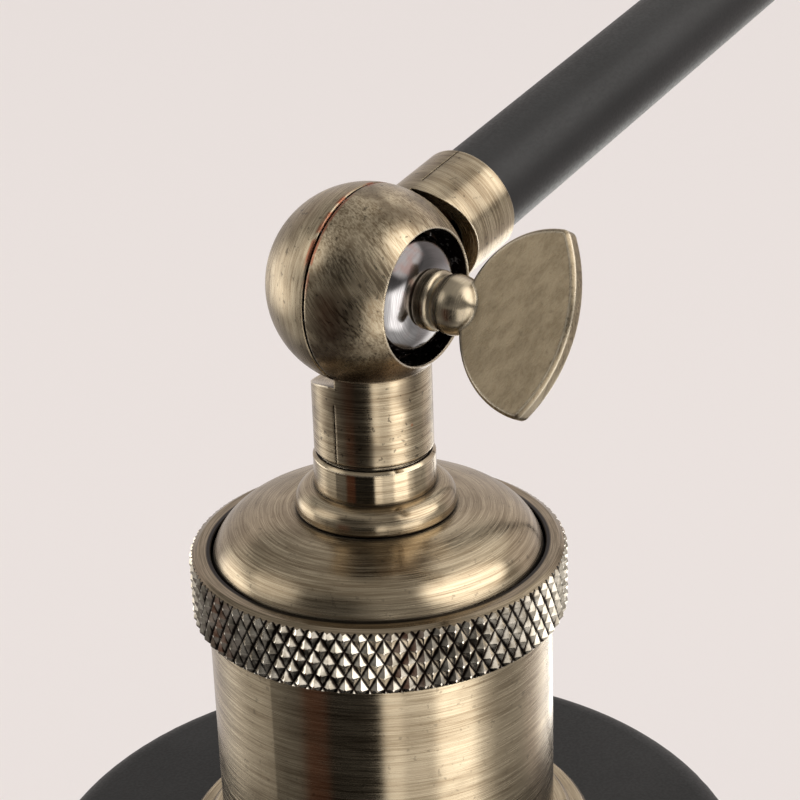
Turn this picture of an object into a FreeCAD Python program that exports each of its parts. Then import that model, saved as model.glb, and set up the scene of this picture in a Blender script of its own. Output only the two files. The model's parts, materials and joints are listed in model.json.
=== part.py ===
import FreeCAD, Part

import math
import os

V = FreeCAD.Vector
CENTRE = V(0, 0, 0)
AXES = {"X": V(1, 0, 0), "Y": V(0, 1, 0), "Z": V(0, 0, 1)}
TINY = 1e-6
PAST = 1.0                    # how far a cut runs beyond the face it opens

# Swing arm desk lamp, in millimetres.  The origin is the centre of the base's underside and
# +Z is up.  Both arms lie in the XZ plane, the head reaches towards +X, and the three tilting
# knuckles turn about Y with their wing screws on the +Y side.

# ---- Arms: lengths between ball centres, and the pose at rest (degrees) ----
LOWER_ARM_LENGTH = 330.0
UPPER_ARM_LENGTH = 270.0
LOWER_ARM_LEAN = 4.0          # leans back from the vertical
UPPER_ARM_DROP = 12.43        # falls below the horizontal, from the elbow to the head
TUBE_RADIUS = 5.75
TUBE_WALL = 1.0

# ---- Threaded nipples (M10) and their lock nuts ----
NIPPLE_RADIUS = 5.0
NIPPLE_HOLE = NIPPLE_RADIUS - 1.4
NIPPLE_BEVEL = 0.4
NIPPLE_TAIL = 2.0             # below its lock nut
LOCK_NUT_FLATS = 2 * NIPPLE_RADIUS + 4.0
LOCK_NUT_HEIGHT = 3.6
FIT = 0.05                    # running and sliding fits, on the radius

# ---- Ball knuckles ----
BALL_RADIUS = 11.47
SEAM_GAP = 0.3                # between the two halves of a ball
SEAM_BEVEL = 0.12
SWING_ROOM = 0.88             # between a ball half and the stub that faces it
CLOSEST_ARMS = 68.5           # smallest angle between the arms at the elbow (degrees)
STUB_ROOM = 0.2
FERRULE_RADIUS = TUBE_RADIUS + 0.9
FERRULE_BORE = TUBE_RADIUS - TUBE_WALL - 0.35
COLLAR_RADIUS = NIPPLE_RADIUS + 1.95
COLLAR_BORE = NIPPLE_HOLE + 0.2
SWING_RADIUS = max(BALL_RADIUS + SWING_ROOM,
                   FERRULE_RADIUS / math.sin(math.radians(CLOSEST_ARMS / 2)) + STUB_ROOM)
TUBE_SEAT = SWING_RADIUS + 1.25              # lengths along a stub, from the ball's centre
FERRULE_LENGTH = TUBE_SEAT + 6.4
NIPPLE_SEAT = SWING_RADIUS + 0.65
COLLAR_LENGTH = NIPPLE_SEAT + 6.8
STUB_BEVEL = 0.3
PARTING_WIDTH = 0.22
PARTING_DEPTH = 0.12
CHANNEL_RADIUS = BALL_RADIUS - 2.17          # ring channel for the wires inside each half
CHANNEL_DEPTH = 3.2
CHANNEL_FILLET = 0.8
BOSS_RADIUS = 4.6
RECESS_RADIUS = 7.72          # round recess for the dished washer
RECESS_FLOOR = BALL_RADIUS - 6.47
RECESS_BEVEL = 0.45
POLE_FLAT = BALL_RADIUS - 1.77               # the nut side is faced off here

# ---- Clamp hardware in each knuckle ----
WASHER_RADIUS = 6.9
WASHER_CROWN = 3.45
WASHER_CROWN_MARGIN = 0.3     # of the crown's flat beyond the screw's shoulder
WASHER_EDGE = 0.5             # upright rim
WASHER_LEAN = 52.0            # degrees, where the dished line's middle lies
WASHER_THICKNESS = 0.9
SCREW_RADIUS = 2.9
SCREW_HOLE = 3.1
SCREW_TIP = POLE_FLAT - 0.5
SCREW_BEVEL = 0.4
SHOULDER_RADIUS = 3.45
SHOULDER_START = RECESS_FLOOR + WASHER_CROWN + 0.15
SHOULDER_END = SHOULDER_START + 1.8
SHOULDER_ROUND = 0.3
SHOULDER_OUTER_ROUND = 0.5
NECK_RADIUS = 2.7
HUB_RADIUS = 3.4
HUB_START = SHOULDER_END + 0.4
HUB_CENTRE = HUB_START + 1.5
WING_RADIUS = 10.4
WING_CENTRE = HUB_CENTRE + 11.7
WING_BULGE = 3.3
WING_THICKNESS = 2.2
WING_BEVEL = 0.4
WING_TIP_FILLET = 1.0
FRICTION_THICKNESS = 0.95
FRICTION_PLAY = 0.03
NUT_FLATS = 10.0
NUT_HEIGHT = 4.8
NUT_PLAY = 0.1                # across each flat of its pocket
WING_ANGLE = {"shoulder": 35.0, "elbow": 62.0, "head": -28.39}

# ---- Rings and flanges round the nipples ----
RING_RADIUS = COLLAR_RADIUS + 0.2
RING_HEIGHT = 4.15
RING_SPIGOT = 0.4
RING_BEVEL = 0.35
FLANGE_RADIUS = RING_RADIUS + 2.31
FLANGE_HEIGHT = 2.95
FLANGE_ROUND = 2.0
FLANGE_FOOT_ROUND = 0.4

# ---- Socket ----
SHEET = 0.8                   # spun brass
SHELL_RADIUS = 20.46
SHELL_LENGTH = 45.0
DOME_RADIUS = SHELL_RADIUS - 0.76
DOME_HEIGHT = 6.9
DOME_SKIRT = 0.1
DOME_MEETING = 22.0           # slope where the dome's two arcs meet (degrees)
DOME_FLAT_MARGIN = 0.3        # of the flange beyond the dome's flat centre
KNURL_RADIUS = SHELL_RADIUS + 1.84
KNURL_HEIGHT = 7.3
KNURL_TOP_RADIUS = KNURL_RADIUS - 1.0
KNURL_TOP_RISE = 0.55
KNURL_BEVEL = 0.4
KNURL_LIP_GAP = 0.25          # round the dome
KNURL_STEP = 1.5              # of the knurl's upper edge above the dome's skirt
CERAMIC_TOP = 6.0             # below the top edge of the shell
CERAMIC_FLOOR = 11.0
CERAMIC_LENGTH = 36.0
CERAMIC_HOLE = 4.0
CERAMIC_BEVEL = 1.0
BULB_CAP_RADIUS = 13.2
SLEEVE_RADIUS = BULB_CAP_RADIUS + 1.0
SLEEVE_WALL = 0.5
SLEEVE_LENGTH = 22.0
CONTACT_WIDTH = 6.0
CONTACT_SHEET = 0.6
CONTACT_RISE = 1.6
CONTACT_TAIL = 9.0            # from the centre to the tongue's fixed end
CONTACT_BEND = 3.0            # from the centre to where the tongue leaves the floor
CONTACT_TIP_START = 2.0
CONTACT_TIP_END = 5.0
CONTACT_MITRE = 0.4
CONTACT_GAP = 0.3             # above the bulb's pip
TERMINAL_SPREAD = 9.5
TERMINAL_HEAD = 3.0
TERMINAL_HEAD_HEIGHT = 1.6
TERMINAL_HEAD_ROUND = 0.5
TERMINAL_LENGTH = 7.0
TERMINAL_TIP_GAP = 0.5
TERMINAL_RADIUS = 1.7
TERMINAL_SLOT_WIDTH = 0.8
TERMINAL_SLOT_DEPTH = 0.7

# ---- Shade and the two rings that clamp it to the shell ----
SHADE_SHEET = 1.0
SHADE_TOP = 40.7              # below the top edge of the shell
SHADE_SHOULDER_CENTRE = SHELL_RADIUS + 20.44
SHADE_SHOULDER_ROUND = 4.0
SHADE_SLOPE = 62.0            # wall below the horizontal where it leaves the shoulder
SHADE_RADIUS = 82.0
SHADE_HEIGHT = 89.0
SHADE_BEAD = 1.6
SHADE_RING_RADIUS = SHELL_RADIUS + 4.84
SHADE_RING_STEP_RADIUS = SHELL_RADIUS + 2.44
SHADE_RING_HEIGHT = 5.2
SHADE_RING_STEP = 1.5
SHADE_RING_BEVEL = 0.5
INNER_RING_RADIUS = SHELL_RADIUS + 4.54
INNER_RING_HEIGHT = 3.0

# ---- Bulb (A60 on an E27 cap) ----
BULB_RADIUS = 30.0
BULB_LENGTH = 105.0
BULB_CAP_LENGTH = 23.0
BULB_CAP_TAPER = 3.0
BULB_CAP_TAPER_DROP = 2.0
BULB_CAP_PLUG = 3.0           # thickness of the insulator under the pip
BULB_PIP_RADIUS = 4.5
BULB_PIP_DROP = 2.0
BULB_NECK_RADIUS = BULB_CAP_RADIUS - 0.5
BULB_NECK_DROP = 30.0
BULB_NECK_ROUND = 18.0
BULB_SEAT = 3.0               # of the glass inside the cap
BULB_GLASS = 0.9
STEM_RADIUS = 4.0
STEM_TIP_RADIUS = 2.0
STEM_LENGTH = 52.0
WIRE_SPREAD = 1.0             # of the support wires where they leave the stem
FILAMENT_SPREAD = 9.0
FILAMENT_RISE = 16.0
FILAMENT_WIRE = 0.5

# ---- Base ----
BASE_RADIUS = 90.0
BASE_SIDE_HEIGHT = 11.0
BASE_EDGE_ROUND = 6.0
BASE_TOP = 24.5
BASE_FLAT_RADIUS = 30.0
BASE_SHEET = 1.2
BASE_STAND_OFF = 1.5          # the cover's edge above the ground
PAD_THICKNESS = 2.5
PAD_BEVEL = 0.5
WEIGHT_PLAY = 0.6
WEIGHT_BORE = NIPPLE_RADIUS + 1.0
HUB_DOME_RADIUS = 26.0
HUB_DOME_HEIGHT = 9.0
HUB_DOME_SKIRT = 1.0
HUB_DOME_FOOT = 1.2           # how far the foot turns out
NIPPLE_FOOT = 5.5
SPRING_WASHER_RADIUS = NIPPLE_RADIUS + 4.5
SPRING_WASHER_HEIGHT = 1.2
STOP_WASHER_HEIGHT = 1.2
STOP_PIN_RADIUS = 1.5
STOP_PIN_PLACE = SPRING_WASHER_RADIUS + 4.5
STOP_PIN_GRIP = 4.0
STOP_PIN_REACH = 1.0          # below the stop washer
STOP_TAB_REACH = STOP_PIN_PLACE + 2.0
STOP_TAB_WIDTH = 4.0
STOP_TAB_ROOT = NIPPLE_RADIUS + 2.0
POCKET_RADIUS = STOP_TAB_REACH + 3.0         # under the weight, for the lock nut
POCKET_TOP = 13.5
GLAND_HEIGHT = 7.5
GLAND_BORE = 3.1
GLAND_RADIUS = GLAND_BORE + 1.1
GLAND_FLANGE = GLAND_RADIUS + 1.0
GLAND_FLANGE_THICKNESS = 2.0
GLAND_FLANGE_ROUND = 0.8
GLAND_MOUTH = 0.5
GLAND_LENGTH = 9.0
GLAND_NUT_HEIGHT = 2.5
GLAND_NUT_RADIUS = GLAND_RADIUS + 0.7
GLAND_NUT_GAP = 0.4           # from the cover's curved inner face
GLAND_NUT_ROOM = 1.0

# ---- Rotary switch on the base ----
SWITCH_PLACE = BASE_RADIUS - 33.0
SWITCH_RADIUS = 9.0
SWITCH_DEPTH = 9.0
SWITCH_FOOT_ROUND = 1.0
SWITCH_NECK_RADIUS = 5.0
SWITCH_NECK_HEIGHT = 3.6
SWITCH_PLAY = 1.5
SWITCH_SEAT_GAP = 0.2         # between the flat housing and the cover's cone
BEZEL_RADIUS = 9.6
BEZEL_HEIGHT = 2.2
BEZEL_ROUND = 1.2
KNOB_RADIUS = 8.0
KNOB_HEIGHT = 11.0
KNOB_GAP = 0.3
KNOB_SKIRT_HEIGHT = 2.0
KNOB_SKIRT_ROUND = 0.6
KNOB_SKIRT_STEP = 1.0
KNOB_TAPER = 0.4
KNOB_TOP_ROUND = 1.0
KNOB_SHAFT = 3.0
KNOB_SHAFT_DEPTH = 5.0
POINTER_START = 2.0
POINTER_WIDTH = 1.0
POINTER_DEPTH = 0.5

# ---- Wires inside the lamp ----
CORE_RADIUS = 0.95
CORE_SPREAD = 1.1             # of each core from the pair's middle
CORE_START = 6.9              # from a ball's centre, inside its channel
CORE_OFFSET = 1.75            # of the pair from the seam plane
CORE_BEND = 3.0
CORE_INLET_GAP = 5.0          # from the gland's inner end
CORE_END_GAP = 0.3            # from the surface a core ends against
CORE_TERMINAL_GAP = 0.4       # from a terminal screw's head
CORE_TURN_RISE = 6.0          # height above the ceramic where the head's cores part
CORE_SWITCH_SHIFT = 6.0       # from the switch's axis, towards the lamp's axis
TROUGH_WIDTH = 8.0
TROUGH_TOP = 9.5
TROUGH_LEVEL = 3.9

# ---- Places that follow from the sizes above ----
KNUCKLE_HEIGHT = (BASE_TOP + HUB_DOME_HEIGHT + FLANGE_HEIGHT + RING_HEIGHT + RING_SPIGOT
                  + COLLAR_LENGTH)
FAR = 40.0                    # past the end of any knuckle


# ---------------------------------------------------------------- helpers

def polar(angle, length):
    """A step of the given length in the XZ plane, at an angle from +Z towards +X."""
    turn = math.radians(angle)
    return V(length * math.sin(turn), 0, length * math.cos(turn))


SHOULDER = V(0, 0, KNUCKLE_HEIGHT)
ELBOW = SHOULDER + polar(-LOWER_ARM_LEAN, LOWER_ARM_LENGTH)
UPPER_ARM_ANGLE = 90 + UPPER_ARM_DROP
HEAD = ELBOW + polar(UPPER_ARM_ANGLE, UPPER_ARM_LENGTH)


def rounding(before, corner, after, radius):
    """Start, middle and end of the tangent arc that rounds a corner."""
    back = (before - corner).normalize()
    ahead = (after - corner).normalize()
    half = back.getAngle(ahead) / 2
    reach = radius / math.tan(half)
    bisector = (back + ahead).normalize()
    middle = corner + bisector * (radius / math.sin(half) - radius)
    return corner + back * reach, middle, corner + ahead * reach


def line(start, end):
    return Part.LineSegment(start, end).toShape()


def arc(start, middle, end):
    return Part.Arc(start, middle, end).toShape()


def face_of(steps, place):
    """A flat face.  Each step is a corner (u, v), a rounded corner (u, v, radius), or an arc
    (u, v, u2, v2) through the first point to the second.  The first step is a plain corner."""
    ends = [place(*step[-2:]) if len(step) == 4 else place(*step[:2]) for step in steps]
    edges = []
    here = ends[0]
    for index in range(1, len(steps) + 1):
        step = steps[index % len(steps)]
        corner = ends[index % len(steps)]
        if len(step) == 4:
            edges.append(arc(here, place(*step[:2]), corner))
        elif len(step) == 3:
            following = ends[(index + 1) % len(steps)]
            first, middle, corner = rounding(here, corner, following, step[2])
            edges.append(line(here, first))
            edges.append(arc(first, middle, corner))
        elif (corner - here).Length > TINY:
            edges.append(line(here, corner))
        here = corner
    return Part.Face(Part.Wire(edges))


def turned(steps, axis="Z"):
    """A solid of revolution from (radius, height) steps."""
    if axis == "Z":
        face = face_of(steps, lambda radius, height: V(radius, 0, height))
    else:
        face = face_of(steps, lambda radius, height: V(radius, height, 0))
    return face.revolve(CENTRE, AXES[axis], 360)


def ring(outer, inner, bottom, top, axis="Z"):
    return turned([(inner, bottom), (outer, bottom), (outer, top), (inner, top)], axis)


def bevelled_ring(outer, inner, bottom, top, bevel, axis="Z"):
    """A ring with its two outer edges bevelled."""
    return turned([(inner, bottom), (outer - bevel, bottom), (outer, bottom + bevel),
                   (outer, top - bevel), (outer - bevel, top), (inner, top)], axis)


def rod(radius, start, end):
    return Part.makeCylinder(radius, (end - start).Length, start, end - start)


def block(low, high):
    size = high - low
    return Part.makeBox(size.x, size.y, size.z, low)


def hex_prism(flats, bottom, top):
    corner = flats / math.sqrt(3)
    points = [V(corner * math.cos(math.radians(60 * i)), corner * math.sin(math.radians(60 * i)),
                bottom) for i in range(7)]
    return Part.Face(Part.makePolygon(points)).extrude(V(0, 0, top - bottom))


def hex_nut(flats, bottom, top, bore):
    """A hexagon nut along Z with the corners turned off at both ends."""
    corner = flats / math.sqrt(3)
    slope = corner - flats / 2
    blank = turned([(bore, bottom), (flats / 2, bottom), (corner + slope, bottom + slope),
                    (corner + slope, top - slope), (flats / 2, top), (bore, top)])
    return hex_prism(flats, bottom, top).common(blank)


def rounded_route(points, radius, bend):
    """A round wire along straight runs that are joined by tangent arcs."""
    edges = []
    here = points[0]
    for index in range(1, len(points) - 1):
        first, middle, last = rounding(here, points[index], points[index + 1], bend)
        edges.append(line(here, first))
        edges.append(arc(first, middle, last))
        here = last
    edges.append(line(here, points[-1]))
    path = Part.Wire(edges)
    start = points[1] - points[0]
    section = Part.Wire([Part.makeCircle(radius, points[0], start)])
    return path.makePipeShell([section], True, True)


def tilted(shape, angle, place):
    """A copy turned about Y, from +Z towards +X, and moved to its place."""
    copy = shape.copy()
    copy.rotate(CENTRE, AXES["Y"], angle)
    copy.translate(place)
    return copy


def along_y(shape):
    """A copy of a shape made along +Z, laid along +Y."""
    copy = shape.copy()
    copy.rotate(CENTRE, AXES["X"], -90)
    return copy


# ---------------------------------------------------------------- knuckle castings
# Each casting is made with its hinge along Y and its stub along +Z, on the +Y side.

def half_ball():
    face = SEAM_GAP / 2
    slant = BALL_RADIUS * math.sqrt(0.5)
    edge_radius = math.sqrt(BALL_RADIUS ** 2 - (face + SEAM_BEVEL) ** 2)
    return turned([(0, face), (edge_radius - SEAM_BEVEL, face), (edge_radius, face + SEAM_BEVEL),
                   (slant, slant, 0, BALL_RADIUS)], "Y")


def stub(radius, length):
    """The round arm of a casting, cut back where the facing ball half swings past."""
    blank = turned([(0, 0), (radius, 0), (radius, length - STUB_BEVEL),
                    (radius - STUB_BEVEL, length), (0, length)])
    room = rod(SWING_RADIUS, V(0, -FAR, 0), V(0, SEAM_GAP / 2, 0))
    return blank.cut(room)


def parting_grooves(radius, length):
    """Fine mould lines down both sides of the stub."""
    cuts = []
    for side in (-1, 1):
        near = side * (radius - PARTING_DEPTH)
        far = side * (radius + PAST)
        low = V(min(near, far), -PARTING_WIDTH / 2, SWING_RADIUS)
        high = V(max(near, far), PARTING_WIDTH / 2, length + PAST)
        cuts.append(block(low, high))
    return cuts


def wire_channel():
    """Ring channel round the boss, and the friction washer's seat on the boss."""
    seat = FRICTION_THICKNESS / 2 + FRICTION_PLAY
    return turned([(0, -PAST), (CHANNEL_RADIUS, -PAST),
                   (CHANNEL_RADIUS, CHANNEL_DEPTH, CHANNEL_FILLET),
                   (BOSS_RADIUS, CHANNEL_DEPTH), (BOSS_RADIUS, seat), (0, seat)], "Y")


def stub_bore(wire_radius, seat_radius, seat, length):
    start = math.sqrt(CHANNEL_RADIUS ** 2 - wire_radius ** 2) - CHANNEL_FILLET / 2
    return turned([(0, start), (wire_radius, start), (wire_radius, seat), (seat_radius, seat),
                   (seat_radius, length + PAST), (0, length + PAST)])


def washer_recess():
    rim = math.sqrt(BALL_RADIUS ** 2 - RECESS_RADIUS ** 2)
    return turned([(0, RECESS_FLOOR), (RECESS_RADIUS, RECESS_FLOOR),
                   (RECESS_RADIUS, rim - RECESS_BEVEL / 2),
                   (RECESS_RADIUS + RECESS_BEVEL, rim + RECESS_BEVEL / 2),
                   (RECESS_RADIUS + RECESS_BEVEL, BALL_RADIUS + PAST),
                   (0, BALL_RADIUS + PAST)], "Y")


def nut_pocket():
    """Hexagon pocket from the faced-off pole."""
    facing = rod(BALL_RADIUS, V(0, POLE_FLAT, 0), V(0, BALL_RADIUS + PAST, 0))
    pocket = hex_prism(NUT_FLATS + NUT_PLAY, POLE_FLAT - NUT_HEIGHT, BALL_RADIUS)
    return facing.fuse(along_y(pocket))


def casting(radius, length, bore, seat_radius, seat, pocket):
    body = half_ball().fuse(stub(radius, length))
    body = body.cut(wire_channel())
    body = body.cut(rod(SCREW_HOLE, V(0, -PAST, 0), V(0, BALL_RADIUS + PAST, 0)))
    body = body.cut(stub_bore(bore, seat_radius, seat, length))
    body = body.cut(pocket)
    body = body.cut(Part.makeCompound(parting_grooves(radius, length)))
    return body.removeSplitter()


def ferrule_casting(pocket):
    return casting(FERRULE_RADIUS, FERRULE_LENGTH, FERRULE_BORE, TUBE_RADIUS + FIT, TUBE_SEAT,
                   pocket)


def collar_casting():
    return casting(COLLAR_RADIUS, COLLAR_LENGTH, COLLAR_BORE, NIPPLE_RADIUS + FIT, NIPPLE_SEAT,
                   washer_recess())


def other_side(shape):
    return shape.mirror(CENTRE, AXES["Y"])


# ---------------------------------------------------------------- clamp hardware, along Y

def wing_blade():
    """Leaf-shaped grip in the YZ plane, with bevelled edges and rounded tips."""
    tip = WING_CENTRE
    steps = [(tip, WING_RADIUS), (tip - WING_RADIUS, 0, tip, -WING_RADIUS),
             (tip + WING_BULGE, 0, tip, WING_RADIUS)]
    half = WING_THICKNESS / 2
    blade = face_of(steps, lambda along, across: V(-half, along, across))
    blade = blade.extrude(V(WING_THICKNESS, 0, 0))
    tips = [edge for edge in blade.Edges if edge.BoundBox.XLength > half]
    blade = blade.makeFillet(WING_TIP_FILLET, tips)
    rims = [edge for edge in blade.Edges if edge.BoundBox.XLength < TINY]
    return blade.makeChamfer(WING_BEVEL, rims)


def wing_screw():
    neck = math.sqrt(HUB_RADIUS ** 2 - (HUB_CENTRE - HUB_START) ** 2)
    stud = turned([(0, -SCREW_TIP), (SCREW_RADIUS - SCREW_BEVEL, -SCREW_TIP),
                   (SCREW_RADIUS, -SCREW_TIP + SCREW_BEVEL), (SCREW_RADIUS, SHOULDER_START),
                   (SHOULDER_RADIUS, SHOULDER_START, SHOULDER_ROUND),
                   (SHOULDER_RADIUS, SHOULDER_END, SHOULDER_OUTER_ROUND),
                   (NECK_RADIUS, SHOULDER_END),
                   (NECK_RADIUS, HUB_START), (neck, HUB_START),
                   (HUB_RADIUS, HUB_CENTRE, 0, HUB_CENTRE + HUB_RADIUS)], "Y")
    return stud.fuse(wing_blade()).removeSplitter()


def dished_washer():
    """Domed washer that fills the recess under the wing screw's shoulder."""
    top = RECESS_FLOOR + WASHER_CROWN
    crown = SHOULDER_RADIUS + WASHER_CROWN_MARGIN
    inner = WASHER_RADIUS - WASHER_THICKNESS
    edge = RECESS_FLOOR + WASHER_EDGE
    lean = math.radians(WASHER_LEAN)
    middle = (crown + (WASHER_RADIUS - crown) * math.sin(lean),
              edge + (top - edge) * math.cos(lean))
    hollow = (middle[0] - WASHER_THICKNESS * math.sin(lean),
              middle[1] - WASHER_THICKNESS * math.cos(lean))
    return turned([(inner, RECESS_FLOOR), (WASHER_RADIUS, RECESS_FLOOR),
                   (WASHER_RADIUS, edge), middle + (crown, top),
                   (SCREW_HOLE, top), (SCREW_HOLE, top - WASHER_THICKNESS),
                   (crown, top - WASHER_THICKNESS), hollow + (inner, RECESS_FLOOR)], "Y")


def friction_washer():
    half = FRICTION_THICKNESS / 2
    return ring(BOSS_RADIUS, SCREW_HOLE, -half, half, "Y")


def pressed_nut():
    nut = hex_nut(NUT_FLATS, -POLE_FLAT, -POLE_FLAT + NUT_HEIGHT, SCREW_RADIUS + FIT)
    return along_y(nut)


def clamp(joint, place, nut_angle):
    """The loose pieces of one knuckle: washer, friction washer, nut and wing screw."""
    return {
        joint + "_wing_screw": tilted(wing_screw(), WING_ANGLE[joint], place),
        joint + "_washer": tilted(dished_washer(), 0, place),
        joint + "_friction_washer": tilted(friction_washer(), 0, place),
        joint + "_nut": tilted(pressed_nut(), nut_angle, place),
    }


# ---------------------------------------------------------------- arms

def tube(start, angle, length):
    shape = ring(TUBE_RADIUS, TUBE_RADIUS - TUBE_WALL, TUBE_SEAT, length - TUBE_SEAT)
    return tilted(shape, angle, start)


def core_pair(start, end):
    """Two straight insulated cores side by side; their ends are given in the arm plane."""
    along = (end - start).normalize()
    across = along.cross(AXES["Y"]).normalize() * CORE_SPREAD
    cores = [rod(CORE_RADIUS, start + across * side, end + across * side) for side in (-1, 1)]
    return Part.makeCompound(cores)


def arms():
    lean = -LOWER_ARM_LEAN
    drop = UPPER_ARM_ANGLE
    front = ferrule_casting(washer_recess())
    back = other_side(ferrule_casting(nut_pocket()))
    seam_step = V(0, CORE_OFFSET, 0)
    lower_start = SHOULDER + polar(lean, CORE_START) - seam_step
    lower_end = ELBOW - polar(lean, CORE_START) + seam_step
    upper_start = ELBOW + polar(drop, CORE_START) - seam_step
    upper_end = HEAD - polar(drop, CORE_START) - seam_step
    return {
        "shoulder_back_half": tilted(back, lean, SHOULDER),
        "lower_tube": tube(SHOULDER, lean, LOWER_ARM_LENGTH),
        "elbow_front_half": tilted(front, lean + 180, ELBOW),
        "lower_lead": core_pair(lower_start, lower_end),
        "elbow_back_half": tilted(back, drop, ELBOW),
        "upper_tube": tube(ELBOW, drop, UPPER_ARM_LENGTH),
        "head_back_half": tilted(back, drop - 180, HEAD),
        "upper_lead": core_pair(upper_start, upper_end),
    }


# ---------------------------------------------------------------- rings, domes and nipples
# These are made hanging from z = 0, and are turned over for the base.

def spacer_ring():
    """Polished ring between a collar and a flange, with a narrow spigot at its top."""
    step = RING_RADIUS - 2 * RING_BEVEL
    return turned([(NIPPLE_RADIUS + FIT, 0), (step, 0), (step, -RING_SPIGOT),
                   (RING_RADIUS - RING_BEVEL, -RING_SPIGOT),
                   (RING_RADIUS, -RING_SPIGOT - RING_BEVEL),
                   (RING_RADIUS, -RING_SPIGOT - RING_HEIGHT),
                   (NIPPLE_RADIUS + FIT, -RING_SPIGOT - RING_HEIGHT)])


def flange():
    return turned([(NIPPLE_RADIUS + FIT, 0), (FLANGE_RADIUS, 0, FLANGE_ROUND),
                   (FLANGE_RADIUS, -FLANGE_HEIGHT, FLANGE_FOOT_ROUND),
                   (NIPPLE_RADIUS + FIT, -FLANGE_HEIGHT)])


def dome_line(radius, height, inset):
    """The dome's curve from its flat centre to its edge, moved inward by inset: a wide arc that
    leaves the centre level, then a tighter one that meets the edge upright."""
    flat = FLANGE_RADIUS - DOME_FLAT_MARGIN
    meeting = math.radians(DOME_MEETING)
    wide_slope = math.tan(meeting / 2)
    tight_slope = math.tan(math.pi / 4 + meeting / 2)
    joint = (tight_slope * radius - height - wide_slope * flat) / (tight_slope - wide_slope)
    wide = (joint - flat) / math.sin(meeting)
    tight = (radius - joint) / (1 - math.sin(meeting))

    def on_wide(angle):
        reach = wide - inset
        return (flat + reach * math.sin(angle), -wide + reach * math.cos(angle))

    def on_tight(angle):
        reach = tight - inset
        return (radius - tight + reach * math.sin(angle), -height + reach * math.cos(angle))

    return [(flat, -inset), on_wide(meeting / 2) + on_wide(meeting),
            on_tight((meeting + math.pi / 2) / 2) + on_tight(math.pi / 2)]


def dome(radius, height, skirt, flange_radius):
    """A spun dome with a straight skirt and a narrow turned-out foot."""
    outer = dome_line(radius, height, 0)
    inner = dome_line(radius, height, SHEET)
    foot = -height - skirt
    bore = NIPPLE_RADIUS + FIT
    walls = turned([(bore, 0)] + outer + [(radius, foot), (flange_radius, foot),
                   (flange_radius, foot - SHEET), (bore, foot - SHEET)])
    hollow = turned([(0, -SHEET)] + inner + [(radius - SHEET, foot - SHEET - PAST),
                    (0, foot - SHEET - PAST)])
    return walls.cut(hollow)


def nipple(bottom, top):
    return bevelled_ring(NIPPLE_RADIUS, NIPPLE_HOLE, bottom, top, NIPPLE_BEVEL)


# ---------------------------------------------------------------- socket and shade
# Heights are measured down from the head's ball centre.

COLLAR_FOOT = -COLLAR_LENGTH
FLANGE_TOP = COLLAR_FOOT - RING_SPIGOT - RING_HEIGHT
DOME_TOP = FLANGE_TOP - FLANGE_HEIGHT
SHELL_TOP = DOME_TOP - DOME_HEIGHT - DOME_SKIRT - SHEET
KNURL_TOP = DOME_TOP - DOME_HEIGHT + KNURL_STEP
CERAMIC_START = SHELL_TOP - CERAMIC_TOP
SOCKET_FLOOR = CERAMIC_START - CERAMIC_FLOOR
CAP_TOP = SOCKET_FLOOR - CONTACT_SHEET - CONTACT_RISE - CONTACT_GAP
SHADE_LEVEL = SHELL_TOP - SHADE_TOP
SHELL_FOOT = SHELL_TOP - SHELL_LENGTH


def knurled_ring():
    """Ring nut that clamps the dome on the shell; its lip bears on the dome's foot."""
    lip_hole = DOME_RADIUS + KNURL_LIP_GAP
    bore = SHELL_RADIUS + FIT
    foot = KNURL_TOP - KNURL_HEIGHT
    lip_foot = SHELL_TOP + SHEET
    return turned([(lip_hole, KNURL_TOP + KNURL_TOP_RISE),
                   (KNURL_TOP_RADIUS, KNURL_TOP + KNURL_TOP_RISE), (KNURL_RADIUS, KNURL_TOP),
                   (KNURL_RADIUS, foot + KNURL_BEVEL), (KNURL_RADIUS - KNURL_BEVEL, foot),
                   (bore, foot),
                   (bore, lip_foot), (lip_hole, lip_foot)])


def socket_shell():
    return ring(SHELL_RADIUS, SHELL_RADIUS - SHEET, SHELL_FOOT, SHELL_TOP)


def socket_ceramic():
    """Porcelain insert: a drum with a hole for the wires and a well for the bulb's cap."""
    radius = SHELL_RADIUS - SHEET - FIT
    foot = CERAMIC_START - CERAMIC_LENGTH
    well = SLEEVE_RADIUS + FIT
    edge = radius - CERAMIC_BEVEL
    drum = turned([(0, SOCKET_FLOOR), (well, SOCKET_FLOOR), (well, foot), (edge, foot),
                   (radius, foot + CERAMIC_BEVEL), (radius, CERAMIC_START - CERAMIC_BEVEL),
                   (edge, CERAMIC_START), (0, CERAMIC_START)])
    drum = drum.cut(rod(CERAMIC_HOLE / 2, V(0, TERMINAL_SPREAD, SOCKET_FLOOR - PAST),
                        V(0, TERMINAL_SPREAD, CERAMIC_START + PAST)))
    hole_foot = CERAMIC_START - TERMINAL_LENGTH - TERMINAL_TIP_GAP
    for side in (-1, 1):
        x = side * TERMINAL_SPREAD
        drum = drum.cut(rod(TERMINAL_RADIUS + FIT, V(x, 0, hole_foot),
                            V(x, 0, CERAMIC_START + PAST)))
    return drum


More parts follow.
